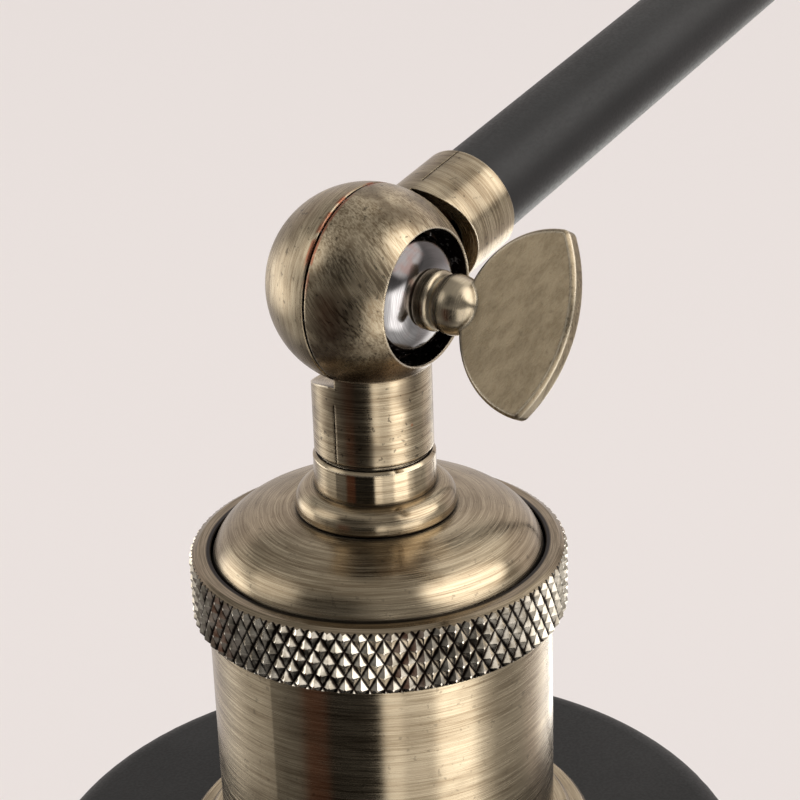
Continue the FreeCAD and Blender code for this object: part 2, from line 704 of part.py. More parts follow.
def terminal_screws():
    tip = CERAMIC_START - TERMINAL_LENGTH
    top = CERAMIC_START + TERMINAL_HEAD_HEIGHT
    screw = turned([(0, tip), (TERMINAL_RADIUS, tip), (TERMINAL_RADIUS, CERAMIC_START),
                    (TERMINAL_HEAD, CERAMIC_START), (TERMINAL_HEAD, top, TERMINAL_HEAD_ROUND),
                    (0, top)])
    half = TERMINAL_SLOT_WIDTH / 2
    screw = screw.cut(block(V(-TERMINAL_HEAD, -half, top - TERMINAL_SLOT_DEPTH),
                            V(TERMINAL_HEAD, half, top + PAST)))
    return Part.makeCompound([tilted(screw, 0, V(side * TERMINAL_SPREAD, 0, 0))
                              for side in (-1, 1)])


def thread_sleeve():
    return ring(SLEEVE_RADIUS, SLEEVE_RADIUS - SLEEVE_WALL, SOCKET_FLOOR - SLEEVE_LENGTH,
                SOCKET_FLOOR)


def centre_contact():
    """Springy brass tongue: flat on the socket's floor, with a raised tip at the centre."""
    top = SOCKET_FLOOR
    sheet = CONTACT_SHEET
    low = top - sheet - CONTACT_RISE
    steps = [(-CONTACT_TAIL, top), (-CONTACT_BEND, top), (CONTACT_TIP_START, low + sheet),
             (CONTACT_TIP_END, low + sheet), (CONTACT_TIP_END, low),
             (CONTACT_TIP_START - CONTACT_MITRE, low),
             (-CONTACT_BEND - CONTACT_MITRE, top - sheet), (-CONTACT_TAIL, top - sheet)]
    half = CONTACT_WIDTH / 2
    strip = face_of(steps, lambda along, height: V(along, -half, height))
    return strip.extrude(V(0, CONTACT_WIDTH, 0))


def shade_wall(inset):
    """Start, middle and end of the wall's slightly bowed line, moved inward by inset."""
    centre = (SHADE_SHOULDER_CENTRE, SHADE_LEVEL - SHADE_SHOULDER_ROUND)
    slope = math.radians(SHADE_SLOPE)
    radius = SHADE_SHOULDER_ROUND - SHADE_SHEET / 2
    start = (centre[0] + radius * math.sin(slope), centre[1] + radius * math.cos(slope))
    end = (SHADE_RADIUS - SHADE_BEAD, SHADE_LEVEL - SHADE_HEIGHT + SHADE_BEAD)
    chord_slope = math.atan2(start[1] - end[1], end[0] - start[0])
    bend = chord_slope - slope
    bow = math.hypot(end[0] - start[0], end[1] - start[1]) * math.tan(bend / 2) / 2
    middle = ((start[0] + end[0]) / 2 + bow * math.sin(chord_slope),
              (start[1] + end[1]) / 2 + bow * math.cos(chord_slope))
    line_points = zip((start, middle, end), (slope, chord_slope, chord_slope + bend))
    shift = SHADE_SHEET / 2 - inset
    return [(point[0] + shift * math.sin(angle), point[1] + shift * math.cos(angle))
            for point, angle in line_points]


def shade():
    hole = SHELL_RADIUS + FIT
    shoulder = SHADE_SHOULDER_CENTRE
    centre_height = SHADE_LEVEL - SHADE_SHOULDER_ROUND
    half = math.radians(SHADE_SLOPE / 2)
    inner_round = SHADE_SHOULDER_ROUND - SHADE_SHEET
    outer = shade_wall(0)
    inner = shade_wall(SHADE_SHEET)
    knee = (shoulder + SHADE_SHOULDER_ROUND * math.sin(half),
            centre_height + SHADE_SHOULDER_ROUND * math.cos(half))
    inner_knee = (shoulder + inner_round * math.sin(half),
                  centre_height + inner_round * math.cos(half))
    sheet = turned([(hole, SHADE_LEVEL), (shoulder, SHADE_LEVEL), knee + outer[0],
                    outer[1] + outer[2], inner[2], inner[1] + inner[0],
                    inner_knee + (shoulder, SHADE_LEVEL - SHADE_SHEET),
                    (hole, SHADE_LEVEL - SHADE_SHEET)])
    bead = Part.makeTorus(SHADE_RADIUS - SHADE_BEAD, SHADE_BEAD,
                          V(0, 0, SHADE_LEVEL - SHADE_HEIGHT + SHADE_BEAD), AXES["Z"])
    return sheet.fuse(bead)


def shade_ring_upper():
    """Stepped, flared ring on top of the shade."""
    bore = SHELL_RADIUS + FIT
    top = SHADE_LEVEL + SHADE_RING_HEIGHT
    step = top - SHADE_RING_STEP
    return turned([(bore, SHADE_LEVEL), (SHADE_RING_RADIUS, SHADE_LEVEL),
                   (SHADE_RING_RADIUS, step - SHADE_RING_BEVEL),
                   (SHADE_RING_RADIUS - SHADE_RING_BEVEL, step), (SHADE_RING_STEP_RADIUS, step),
                   (SHADE_RING_STEP_RADIUS, top - SHADE_RING_BEVEL),
                   (SHADE_RING_STEP_RADIUS - SHADE_RING_BEVEL, top), (bore, top)])


def shade_ring_lower():
    top = SHADE_LEVEL - SHADE_SHEET
    return bevelled_ring(INNER_RING_RADIUS, SHELL_RADIUS + FIT, top - INNER_RING_HEIGHT, top,
                         SHADE_RING_BEVEL)


# ---------------------------------------------------------------- bulb

def bulb_outline(inset):
    """Neck and globe of the glass, moved inward by inset, from the neck to the tip."""
    globe = CAP_TOP - BULB_LENGTH + BULB_RADIUS
    neck_radius = BULB_NECK_RADIUS
    neck_height = CAP_TOP - BULB_NECK_DROP
    distance = math.hypot(neck_radius, neck_height - globe)
    lean = math.atan2(neck_radius, neck_height - globe) + math.acos(BULB_RADIUS / distance)
    radius = BULB_RADIUS - inset
    touch = (radius * math.sin(lean), globe + radius * math.cos(lean))
    half = (lean + math.pi) / 2
    low = (radius * math.sin(half), globe + radius * math.cos(half))
    edge = CAP_TOP - BULB_PIP_DROP - BULB_CAP_LENGTH + BULB_SEAT
    return [(neck_radius - inset, edge), (neck_radius - inset, neck_height, BULB_NECK_ROUND),
            touch, low + (0, globe - radius)]


def bulb_glass():
    top = bulb_outline(0)[0][1]
    outer = turned([(0, top)] + bulb_outline(0))
    inner = turned([(0, top - BULB_GLASS)] + [(bulb_outline(BULB_GLASS)[0][0], top - BULB_GLASS)]
                   + bulb_outline(BULB_GLASS)[1:])
    return outer.cut(inner)


def bulb_cap():
    """Screw cap with its insulated pip at the centre."""
    rim = CAP_TOP - BULB_PIP_DROP
    foot = rim - BULB_CAP_LENGTH
    inside = BULB_NECK_RADIUS + FIT
    plug = rim - BULB_CAP_PLUG
    return turned([(0, CAP_TOP), (BULB_PIP_RADIUS, CAP_TOP),
                   (BULB_CAP_RADIUS - BULB_CAP_TAPER, rim),
                   (BULB_CAP_RADIUS, rim - BULB_CAP_TAPER_DROP), (BULB_CAP_RADIUS, foot),
                   (inside, foot), (inside, plug), (0, plug)])


def filament():
    """Glass stem on the neck's inner end, two support wires and the filament between them."""
    top = bulb_outline(0)[0][1] - BULB_GLASS
    stem_foot = top - STEM_LENGTH
    tip = stem_foot - FILAMENT_RISE
    shape = turned([(0, top), (STEM_RADIUS, top), (STEM_TIP_RADIUS, stem_foot), (0, stem_foot)])
    for side in (-1, 1):
        root = V(side * WIRE_SPREAD, 0, stem_foot + PAST)
        shape = shape.fuse(rod(FILAMENT_WIRE, root, V(side * FILAMENT_SPREAD, 0, tip)))
    return shape.fuse(rod(FILAMENT_WIRE, V(-FILAMENT_SPREAD, 0, tip), V(FILAMENT_SPREAD, 0, tip)))


# ---------------------------------------------------------------- head

def head_lead():
    """Two cores from the knuckle's channel, down the nipple, to the terminal screws."""
    cores = []
    level = CERAMIC_START + CORE_RADIUS + CORE_END_GAP
    for side in (-1, 1):
        x = side * CORE_SPREAD
        reach = side * (TERMINAL_SPREAD - TERMINAL_HEAD - CORE_TERMINAL_GAP)
        points = [V(x, CORE_OFFSET, -CORE_START), V(x, CORE_OFFSET, level + CORE_TURN_RISE),
                  V(reach, CORE_OFFSET, level)]
        cores.append(rounded_route(points, CORE_RADIUS, CORE_BEND))
    return Part.makeCompound(cores)


def head_pieces():
    nut_top = DOME_TOP - SHEET
    pieces = {
        "head_front_half": tilted(collar_casting(), 180, CENTRE),
        "head_spacer_ring": tilted(spacer_ring(), 0, V(0, 0, COLLAR_FOOT)),
        "head_nipple": nipple(nut_top - LOCK_NUT_HEIGHT - NIPPLE_TAIL, -NIPPLE_SEAT),
        "head_flange": tilted(flange(), 0, V(0, 0, FLANGE_TOP)),
        "socket_dome": tilted(dome(DOME_RADIUS, DOME_HEIGHT, DOME_SKIRT, SHELL_RADIUS), 0,
                              V(0, 0, DOME_TOP)),
        "socket_lock_nut": hex_nut(LOCK_NUT_FLATS, nut_top - LOCK_NUT_HEIGHT, nut_top,
                                   NIPPLE_RADIUS + FIT),
        "knurled_ring": knurled_ring(),
        "socket_shell": socket_shell(),
        "socket_ceramic": socket_ceramic(),
        "socket_terminal_screws": terminal_screws(),
        "socket_thread_sleeve": thread_sleeve(),
        "socket_contact": centre_contact(),
        "shade_ring_upper": shade_ring_upper(),
        "shade": shade(),
        "shade_ring_lower": shade_ring_lower(),
        "bulb_cap": bulb_cap(),
        "bulb_glass": bulb_glass(),
        "bulb_filament": filament(),
        "head_lead": head_lead(),
    }
    return {name: tilted(shape, 0, HEAD) for name, shape in pieces.items()}


# ---------------------------------------------------------------- base

def base_slope():
    """Slope of the cover's top, so that it leaves the rounded edge smoothly (radians)."""
    run = BASE_RADIUS - BASE_EDGE_ROUND - BASE_FLAT_RADIUS
    rise = BASE_TOP - BASE_SIDE_HEIGHT
    return math.atan2(rise, run) - math.asin(BASE_EDGE_ROUND / math.hypot(run, rise))


def base_outline(inset, foot):
    """Outline of the cover's outer face moved inward by inset, closed down to foot."""
    slope = base_slope()
    radius = BASE_EDGE_ROUND - inset
    centre = BASE_RADIUS - BASE_EDGE_ROUND
    half = (math.pi / 2 - slope) / 2
    edge_end = (centre + radius * math.sin(slope), BASE_SIDE_HEIGHT + radius * math.cos(slope))
    edge_middle = (centre + radius * math.cos(half), BASE_SIDE_HEIGHT + radius * math.sin(half))
    top = BASE_TOP - inset
    flat = edge_end[0] - (top - edge_end[1]) / math.tan(slope)
    return [(0, foot), (BASE_RADIUS - inset, foot), (BASE_RADIUS - inset, BASE_SIDE_HEIGHT),
            edge_middle + edge_end, (flat, top), (0, top)]


def slope_height(distance):
    """Height of the cover's slope at a distance from the lamp's axis."""
    return BASE_TOP - (distance - BASE_FLAT_RADIUS) * math.tan(base_slope())


def on_slope(shape):
    """Move a shape made on z = 0 to the switch's place on the cover's slope."""
    place = V(SWITCH_PLACE, 0, slope_height(SWITCH_PLACE))
    return tilted(shape, math.degrees(base_slope()), place)


def along_minus_x(shape):
    """Move a shape made along +Z, from the cover's side outwards, to the cord's inlet."""
    copy = shape.copy()
    copy.rotate(CENTRE, AXES["Y"], -90)
    copy.translate(V(-BASE_RADIUS, 0, GLAND_HEIGHT))
    return copy


def base_cover():
    cover = turned(base_outline(0, BASE_STAND_OFF))
    cover = cover.cut(turned(base_outline(BASE_SHEET, BASE_STAND_OFF - PAST)))
    cover = cover.cut(rod(WEIGHT_BORE, CENTRE, V(0, 0, BASE_TOP + PAST)))
    low = V(0, 0, -2 * BASE_SHEET)
    high = V(0, 0, 2 * BASE_SHEET)
    cover = cover.cut(on_slope(rod(SWITCH_NECK_RADIUS + FIT, low, high)))
    return cover.cut(along_minus_x(rod(GLAND_RADIUS + FIT, low, high)))


def base_weight():
    """Cast-iron disc with a nut pocket, a wire trough, and room for the switch and gland."""
    weight = turned(base_outline(BASE_SHEET + WEIGHT_PLAY, PAD_THICKNESS))
    weight = weight.cut(rod(WEIGHT_BORE, CENTRE, V(0, 0, BASE_TOP)))
    weight = weight.cut(rod(POCKET_RADIUS, CENTRE, V(0, 0, POCKET_TOP)))
    half = TROUGH_WIDTH / 2
    trough = block(V(-BASE_RADIUS, -half, 0), V(SWITCH_PLACE, half, TROUGH_TOP))
    weight = weight.cut(trough)
    switch_room = rod(SWITCH_RADIUS + SWITCH_PLAY, V(0, 0, -BASE_TOP), V(0, 0, PAST))
    weight = weight.cut(on_slope(switch_room))
    gland_room = rod(GLAND_NUT_RADIUS + GLAND_NUT_ROOM, V(0, 0, -GLAND_LENGTH - GLAND_NUT_ROOM),
                     CENTRE)
    weight = weight.cut(along_minus_x(gland_room))
    return weight.cut(rod(STOP_PIN_RADIUS + FIT / 2, V(0, STOP_PIN_PLACE, 0),
                          V(0, STOP_PIN_PLACE, POCKET_TOP + STOP_PIN_GRIP)))


def base_pad():
    radius = BASE_RADIUS - BASE_SHEET - WEIGHT_PLAY
    return turned([(0, 0), (radius - PAD_BEVEL, 0), (radius, PAD_BEVEL),
                   (radius, PAD_THICKNESS), (0, PAD_THICKNESS)])


def hub_dome():
    height = HUB_DOME_HEIGHT - SHEET - HUB_DOME_SKIRT
    shape = dome(HUB_DOME_RADIUS, height, HUB_DOME_SKIRT, HUB_DOME_RADIUS + HUB_DOME_FOOT)
    return tilted(shape, 0, V(0, 0, BASE_TOP + HUB_DOME_HEIGHT))


def hub_bush():
    """Bronze bush that the nipple turns in, from the hub's flange to the weight's bore."""
    top = BASE_TOP + HUB_DOME_HEIGHT + FLANGE_HEIGHT
    bore = NIPPLE_RADIUS + FIT
    barrel = ring(WEIGHT_BORE - FIT, bore, POCKET_TOP, top - FLANGE_HEIGHT - SHEET)
    return barrel, tilted(flange(), 0, V(0, 0, top))


def swivel_pieces():
    """What turns with the shoulder's collar: ring, nipple, washers, stop and lock nut."""
    ring_top = BASE_TOP + HUB_DOME_HEIGHT + FLANGE_HEIGHT + RING_HEIGHT + RING_SPIGOT
    spring_foot = POCKET_TOP - SPRING_WASHER_HEIGHT
    stop_foot = spring_foot - STOP_WASHER_HEIGHT
    bore = NIPPLE_RADIUS + FIT
    half = STOP_TAB_WIDTH / 2
    tab = block(V(-half, -STOP_TAB_REACH, stop_foot), V(half, -STOP_TAB_ROOT, spring_foot))
    stop = ring(SPRING_WASHER_RADIUS, bore, stop_foot, spring_foot).fuse(tab).removeSplitter()
    top = SHOULDER - V(0, 0, CORE_START) + V(0, CORE_OFFSET, 0)
    foot = V(0, CORE_OFFSET, NIPPLE_FOOT)
    return {
        "shoulder_front_half": tilted(collar_casting(), 180, SHOULDER),
        "base_spacer_ring": tilted(spacer_ring(), 0, V(0, 0, ring_top)),
        "base_nipple": nipple(NIPPLE_FOOT, KNUCKLE_HEIGHT - NIPPLE_SEAT),
        "base_spring_washer": ring(SPRING_WASHER_RADIUS, bore, spring_foot, POCKET_TOP),
        "base_stop_washer": stop,
        "base_lock_nut": hex_nut(LOCK_NUT_FLATS, stop_foot - LOCK_NUT_HEIGHT, stop_foot, bore),
        "base_stem_lead": core_pair(foot, top),
    }


def stop_pin():
    foot = POCKET_TOP - SPRING_WASHER_HEIGHT - STOP_WASHER_HEIGHT - STOP_PIN_REACH
    return rod(STOP_PIN_RADIUS, V(0, STOP_PIN_PLACE, foot),
               V(0, STOP_PIN_PLACE, POCKET_TOP + STOP_PIN_GRIP))


def cord_gland():
    """Flanged bush through the cover's side."""
    inner_end = -GLAND_LENGTH
    lip = GLAND_FLANGE_THICKNESS
    return turned([(GLAND_BORE, inner_end), (GLAND_RADIUS, inner_end), (GLAND_RADIUS, 0),
                   (GLAND_FLANGE, 0), (GLAND_FLANGE, lip, GLAND_FLANGE_ROUND),
                   (GLAND_BORE + GLAND_MOUTH, lip), (GLAND_BORE, lip - GLAND_MOUTH)])


def gland_nut():
    top = -BASE_SHEET - GLAND_NUT_GAP
    return ring(GLAND_NUT_RADIUS, GLAND_RADIUS + FIT, top - GLAND_NUT_HEIGHT, top)


def switch_body():
    """Round housing under the cover, with a threaded neck that holds the knob's shaft."""
    top = -BASE_SHEET - SWITCH_SEAT_GAP
    foot = top - SWITCH_DEPTH
    hole = KNOB_SHAFT + FIT
    hole_foot = top - KNOB_SHAFT_DEPTH - KNOB_GAP
    return turned([(0, foot), (SWITCH_RADIUS, foot, SWITCH_FOOT_ROUND), (SWITCH_RADIUS, top),
                   (SWITCH_NECK_RADIUS, top), (SWITCH_NECK_RADIUS, SWITCH_NECK_HEIGHT),
                   (hole, SWITCH_NECK_HEIGHT), (hole, hole_foot), (0, hole_foot)])


def switch_bezel():
    return turned([(SWITCH_NECK_RADIUS + FIT, 0), (BEZEL_RADIUS, 0),
                   (BEZEL_RADIUS, BEZEL_HEIGHT, BEZEL_ROUND),
                   (SWITCH_NECK_RADIUS + FIT, BEZEL_HEIGHT)])


def switch_knob():
    """Knob with a skirt, a shaft and a pointer groove across its top."""
    foot = SWITCH_NECK_HEIGHT + KNOB_GAP
    top = foot + KNOB_HEIGHT
    skirt_top = foot + KNOB_SKIRT_HEIGHT
    tip = -BASE_SHEET - KNOB_SHAFT_DEPTH
    grip = KNOB_RADIUS - KNOB_SKIRT_STEP
    knob = turned([(0, tip), (KNOB_SHAFT, tip), (KNOB_SHAFT, foot), (KNOB_RADIUS, foot),
                   (KNOB_RADIUS, skirt_top, KNOB_SKIRT_ROUND), (grip, skirt_top),
                   (grip - KNOB_TAPER, top, KNOB_TOP_ROUND), (0, top)])
    half = POINTER_WIDTH / 2
    groove = block(V(POINTER_START, -half, top - POINTER_DEPTH), V(KNOB_RADIUS, half, top + PAST))
    return knob.cut(groove)


def base_lead():
    """Two cores from the gland along the trough, under the nipple and up to the switch."""
    level = TROUGH_LEVEL
    end = SWITCH_PLACE - CORE_SWITCH_SHIFT
    switch_foot = switch_body().BoundBox.ZMin
    slope = base_slope()
    top_height = (slope_height(SWITCH_PLACE) + switch_foot * math.cos(slope)
                  + CORE_SWITCH_SHIFT * math.sin(slope))
    cores = []
    for side in (-1, 1):
        y = side * CORE_SPREAD
        points = [V(-BASE_RADIUS + GLAND_LENGTH + CORE_INLET_GAP, y, GLAND_HEIGHT),
                  V(-POCKET_RADIUS, y, level),
                  V(end, y, level), V(end, y, top_height - CORE_END_GAP)]
        cores.append(rounded_route(points, CORE_RADIUS, CORE_BEND))
    return Part.makeCompound(cores)


def base_pieces():
    barrel, hub_flange = hub_bush()
    pieces = {
        "base_cover": base_cover(),
        "base_weight": base_weight(),
        "base_pad": base_pad(),
        "base_hub_dome": hub_dome(),
        "base_bush": barrel,
        "base_flange": hub_flange,
        "base_stop_pin": stop_pin(),
        "cord_gland": along_minus_x(cord_gland()),
        "gland_nut": along_minus_x(gland_nut()),
        "switch_body": on_slope(switch_body()),
        "switch_bezel": on_slope(switch_bezel()),
        "switch_knob": on_slope(switch_knob()),
        "base_lead": base_lead(),
    }
    pieces.update(swivel_pieces())
    return pieces


# ---------------------------------------------------------------- write every piece

def lamp():
    pieces = base_pieces()
    pieces.update(arms())
    pieces.update(clamp("shoulder", SHOULDER, -LOWER_ARM_LEAN))
    pieces.update(clamp("elbow", ELBOW, UPPER_ARM_ANGLE))
    pieces.update(clamp("head", HEAD, UPPER_ARM_ANGLE - 180))
    pieces.update(head_pieces())
    return pieces


os.makedirs("parts", exist_ok=True)
for node, shape in lamp().items():
    shape.exportStep("parts/" + node + ".step")
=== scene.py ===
import json
import math

import bmesh
import bpy
from mathutils import Matrix, Vector


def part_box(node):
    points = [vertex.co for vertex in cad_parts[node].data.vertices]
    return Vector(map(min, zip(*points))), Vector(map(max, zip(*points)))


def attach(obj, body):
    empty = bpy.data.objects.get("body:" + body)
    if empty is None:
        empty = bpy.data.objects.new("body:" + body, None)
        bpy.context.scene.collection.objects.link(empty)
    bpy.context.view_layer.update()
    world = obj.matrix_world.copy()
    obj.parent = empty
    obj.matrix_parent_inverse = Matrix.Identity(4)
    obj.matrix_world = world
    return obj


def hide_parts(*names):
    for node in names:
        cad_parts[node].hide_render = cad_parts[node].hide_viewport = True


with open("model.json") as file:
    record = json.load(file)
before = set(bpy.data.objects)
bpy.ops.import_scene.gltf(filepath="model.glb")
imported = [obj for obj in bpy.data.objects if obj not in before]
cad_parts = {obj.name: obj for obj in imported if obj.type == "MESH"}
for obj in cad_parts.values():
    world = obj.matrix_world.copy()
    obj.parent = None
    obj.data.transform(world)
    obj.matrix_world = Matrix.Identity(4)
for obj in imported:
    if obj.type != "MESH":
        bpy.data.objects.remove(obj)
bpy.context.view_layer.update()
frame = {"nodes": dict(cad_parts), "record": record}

MM = 0.001
RECORD = frame["record"]


# ---------------------------------------------------------------- places read from the frame

def joint(name):
    return next(entry for entry in RECORD["behaviour"]["joints"] if entry["name"] == name)


def middle(node):
    low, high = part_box(node)
    return (Vector(low) + Vector(high)) / 2


SHOULDER = Vector(joint("shoulder_tilt")["pos_m"])
ELBOW = Vector(joint("elbow_tilt")["pos_m"])
HEAD = Vector(joint("head_tilt")["pos_m"])
UP = Vector((0, 0, 1))
HINGE = Vector((0, 1, 0))
LOWER_ARM = (ELBOW - SHOULDER).normalized()
UPPER_ARM = (HEAD - ELBOW).normalized()


# ---------------------------------------------------------------- camera

VIEW_AZIMUTH = math.radians(128.08)
VIEW_DOWN = math.radians(23.56)
VIEW_ROLL = math.radians(-2.02)
VIEW_DISTANCE = 246.67 * MM
VIEW_SHIFT_RIGHT = -3.62 * MM      # of the head's ball from the middle of the picture
VIEW_SHIFT_UP = 13.03 * MM
LENS = 99.14
SENSOR = 36.0


def view_axes():
    """The camera's right, up and forward directions."""
    right = Vector((math.cos(VIEW_AZIMUTH), math.sin(VIEW_AZIMUTH), 0))
    away = Vector((-math.sin(VIEW_AZIMUTH), math.cos(VIEW_AZIMUTH), 0))
    up = away * math.sin(VIEW_DOWN) + UP * math.cos(VIEW_DOWN)
    forward = away * math.cos(VIEW_DOWN) - UP * math.sin(VIEW_DOWN)
    rolled_right = right * math.cos(VIEW_ROLL) + up * math.sin(VIEW_ROLL)
    rolled_up = up * math.cos(VIEW_ROLL) - right * math.sin(VIEW_ROLL)
    return rolled_right, rolled_up, forward


def make_camera():
    right, up, forward = view_axes()
    camera = bpy.data.objects.new("camera", bpy.data.cameras.new("camera"))
    bpy.context.collection.objects.link(camera)
    camera.data.lens = LENS
    camera.data.sensor_width = SENSOR
    camera.data.clip_start = 0.01
    camera.data.clip_end = 50
    rotation = Matrix((right, up, -forward)).transposed().to_4x4()
    place = HEAD - right * VIEW_SHIFT_RIGHT - up * VIEW_SHIFT_UP - forward * VIEW_DISTANCE
    camera.matrix_world = Matrix.Translation(place) @ rotation
    bpy.context.scene.camera = camera


# ---------------------------------------------------------------- node helpers

class Graph:
    """Short calls for building a node tree."""

    def __init__(self, tree):
        self.tree = tree
        tree.nodes.clear()

    def add(self, kind, inputs=None, **settings):
        node = self.tree.nodes.new(kind)
        for key, value in settings.items():
            setattr(node, key, value)
        for key, value in (inputs or {}).items():
            self.put(node.inputs[key], value)
        return node

    def put(self, socket, value):
        if isinstance(value, bpy.types.NodeSocket):
            self.tree.links.new(value, socket)
        else:
            socket.default_value = value

    def math(self, operation, a, b=0.0, c=0.0, clamp=False):
        node = self.add("ShaderNodeMath", {0: a, 1: b, 2: c}, operation=operation, use_clamp=clamp)
        return node.outputs[0]

    def vector(self, operation, a, b=(0, 0, 0)):
        node = self.add("ShaderNodeVectorMath", {0: a, 1: b}, operation=operation)
        return node.outputs["Value" if operation in ("DOT_PRODUCT", "LENGTH") else "Vector"]

    def scale(self, a, factor):
        node = self.add("ShaderNodeVectorMath", {0: a, "Scale": factor}, operation="SCALE")
        return node.outputs["Vector"]

    def combine(self, x, y, z):
        return self.add("ShaderNodeCombineXYZ", {0: x, 1: y, 2: z}).outputs[0]

    def noise(self, vector, scale, detail=2.0, w=None, roughness=0.5):
        inputs = {"Vector": vector, "Scale": scale, "Detail": detail, "Roughness": roughness}
        if w is None:
            return self.add("ShaderNodeTexNoise", inputs).outputs["Fac"]
        node = self.add("ShaderNodeTexNoise", noise_dimensions="4D")
        for key, value in {**inputs, "W": w}.items():
            self.put(node.inputs[key], value)
        return node.outputs["Fac"]

    def spread(self, value, low, high, to_low=0.0, to_high=1.0, smooth=True):
        kind = "SMOOTHSTEP" if smooth else "LINEAR"
        return self.add("ShaderNodeMapRange", {"Value": value, "From Min": low, "From Max": high,
                                               "To Min": to_low, "To Max": to_high},
                        interpolation_type=kind).outputs[0]

    def mix(self, factor, a, b, blend="MIX"):
        node = self.add("ShaderNodeMix", data_type="RGBA", blend_type=blend, clamp_factor=True)
        self.put(node.inputs[0], factor)
        self.put(node.inputs[6], a if not isinstance(a, tuple) else (*a, 1)[:4])
        self.put(node.inputs[7], b if not isinstance(b, tuple) else (*b, 1)[:4])
        return node.outputs[2]

    def choose(self, factor, a, b, kind="FLOAT"):
        """a where the factor is 0 and b where it is 1, for numbers or vectors."""
        node = self.add("ShaderNodeMix", data_type=kind)
        first, result = {"FLOAT": (2, 0), "VECTOR": (4, 1)}[kind]
        for slot, value in ((0, factor), (first, a), (first + 1, b)):
            self.put(node.inputs[slot], value)
        return node.outputs[result]

    def ramp(self, value, stops):
        node = self.add("ShaderNodeValToRGB", {"Fac": value})
        elements = node.color_ramp.elements
        node.color_ramp.interpolation = "LINEAR"
        while len(elements) < len(stops):
            elements.new(0.5)
        for element, (place, colour) in zip(elements, stops):
            element.position = place
        for element, (place, colour) in zip(elements, stops):
            element.color = (*colour, 1)
        return node.outputs["Color"]

    def bump(self, strength, distance, height, normal=None):
        """A normal with relief; the distance is in millimetres."""
        inputs = {"Strength": strength, "Distance": distance * MM, "Height": height}
        if normal is not None:
            inputs["Normal"] = normal
        return self.add("ShaderNodeBump", inputs).outputs[0]

    def to_world(self, value, kind):
        """A vector or normal in the object's frame, turned into the world's."""
        return self.add("ShaderNodeVectorTransform", {0: value}, vector_type=kind,
                        convert_from="OBJECT", convert_to="WORLD").outputs[0]


# ---------------------------------------------------------------- floor, light and reflections

FLOOR_COLOUR = (0.905, 0.84, 0.82)
BACKDROP = (0.80, 0.745, 0.72)
WARM = (1.0, 0.98, 0.94)
SHADOWLESS = (0.86, 0.85, 0.84)    # what the room gives to surfaces that don't mirror it
FLOOR_REACH = 9.0
ROOM_SCALE = 1 / 4                # keeps the room's colours below 1; its strength undoes it

# Angle to the right and height (degrees), radii where it is full and gone (degrees), brightness.
CEILING_PATCHES = ((148, 36, 14, 40, 1.4), (-36, 34, 10, 28, 0.08), (-86, 30, 8, 24, 1.7),
                   (74, 38, 23, 33, 3.3))


def toned(level, tint=WARM):
    return tuple(level * part for part in tint)


def studio_bands():
    """Brightness of the lower room by angle from the camera (degrees); negative is to the left."""
    return [(-180, toned(0.95, BACKDROP)), (-140, toned(0.85, BACKDROP)), (-131, toned(0.75)),
            (-84, toned(0.70)), (-78, toned(0.26)), (-57, toned(0.18)),
            (-54, (0.12, 0.055, 0.035)), (-39, (0.10, 0.045, 0.03)), (-37, toned(0.02)),
            (-3, toned(0.02)), (1, toned(1.9)), (10, toned(1.9)), (14, toned(1.3)),
            (32, toned(1.5)), (38, toned(3.2)), (60, toned(3.2)), (66, toned(1.5)),
            (80, toned(0.55)), (104, toned(0.55)), (116, toned(1.1, BACKDROP)),
            (150, toned(1.1, BACKDROP)), (180, toned(0.95, BACKDROP))]


def room_direction(angle, height):
    """Unit direction at an angle to the right of the camera, as seen from the lamp (degrees)."""
    turn = math.radians(angle)
    rise = math.radians(height)
    nearer = Vector((math.sin(VIEW_AZIMUTH), -math.cos(VIEW_AZIMUTH), 0))
    right = Vector((math.cos(VIEW_AZIMUTH), math.sin(VIEW_AZIMUTH), 0))
    level = nearer * math.cos(turn) + right * math.sin(turn)
    return level * math.cos(rise) + UP * math.sin(rise)


def patch(graph, direction, angle, height, inner, outer):
    """1 inside a round patch of the room, fading to 0 at its outer edge (degrees)."""
    facing = graph.vector("DOT_PRODUCT", direction, tuple(room_direction(angle, height)))
    return graph.spread(facing, math.cos(math.radians(outer)), math.cos(math.radians(inner)))


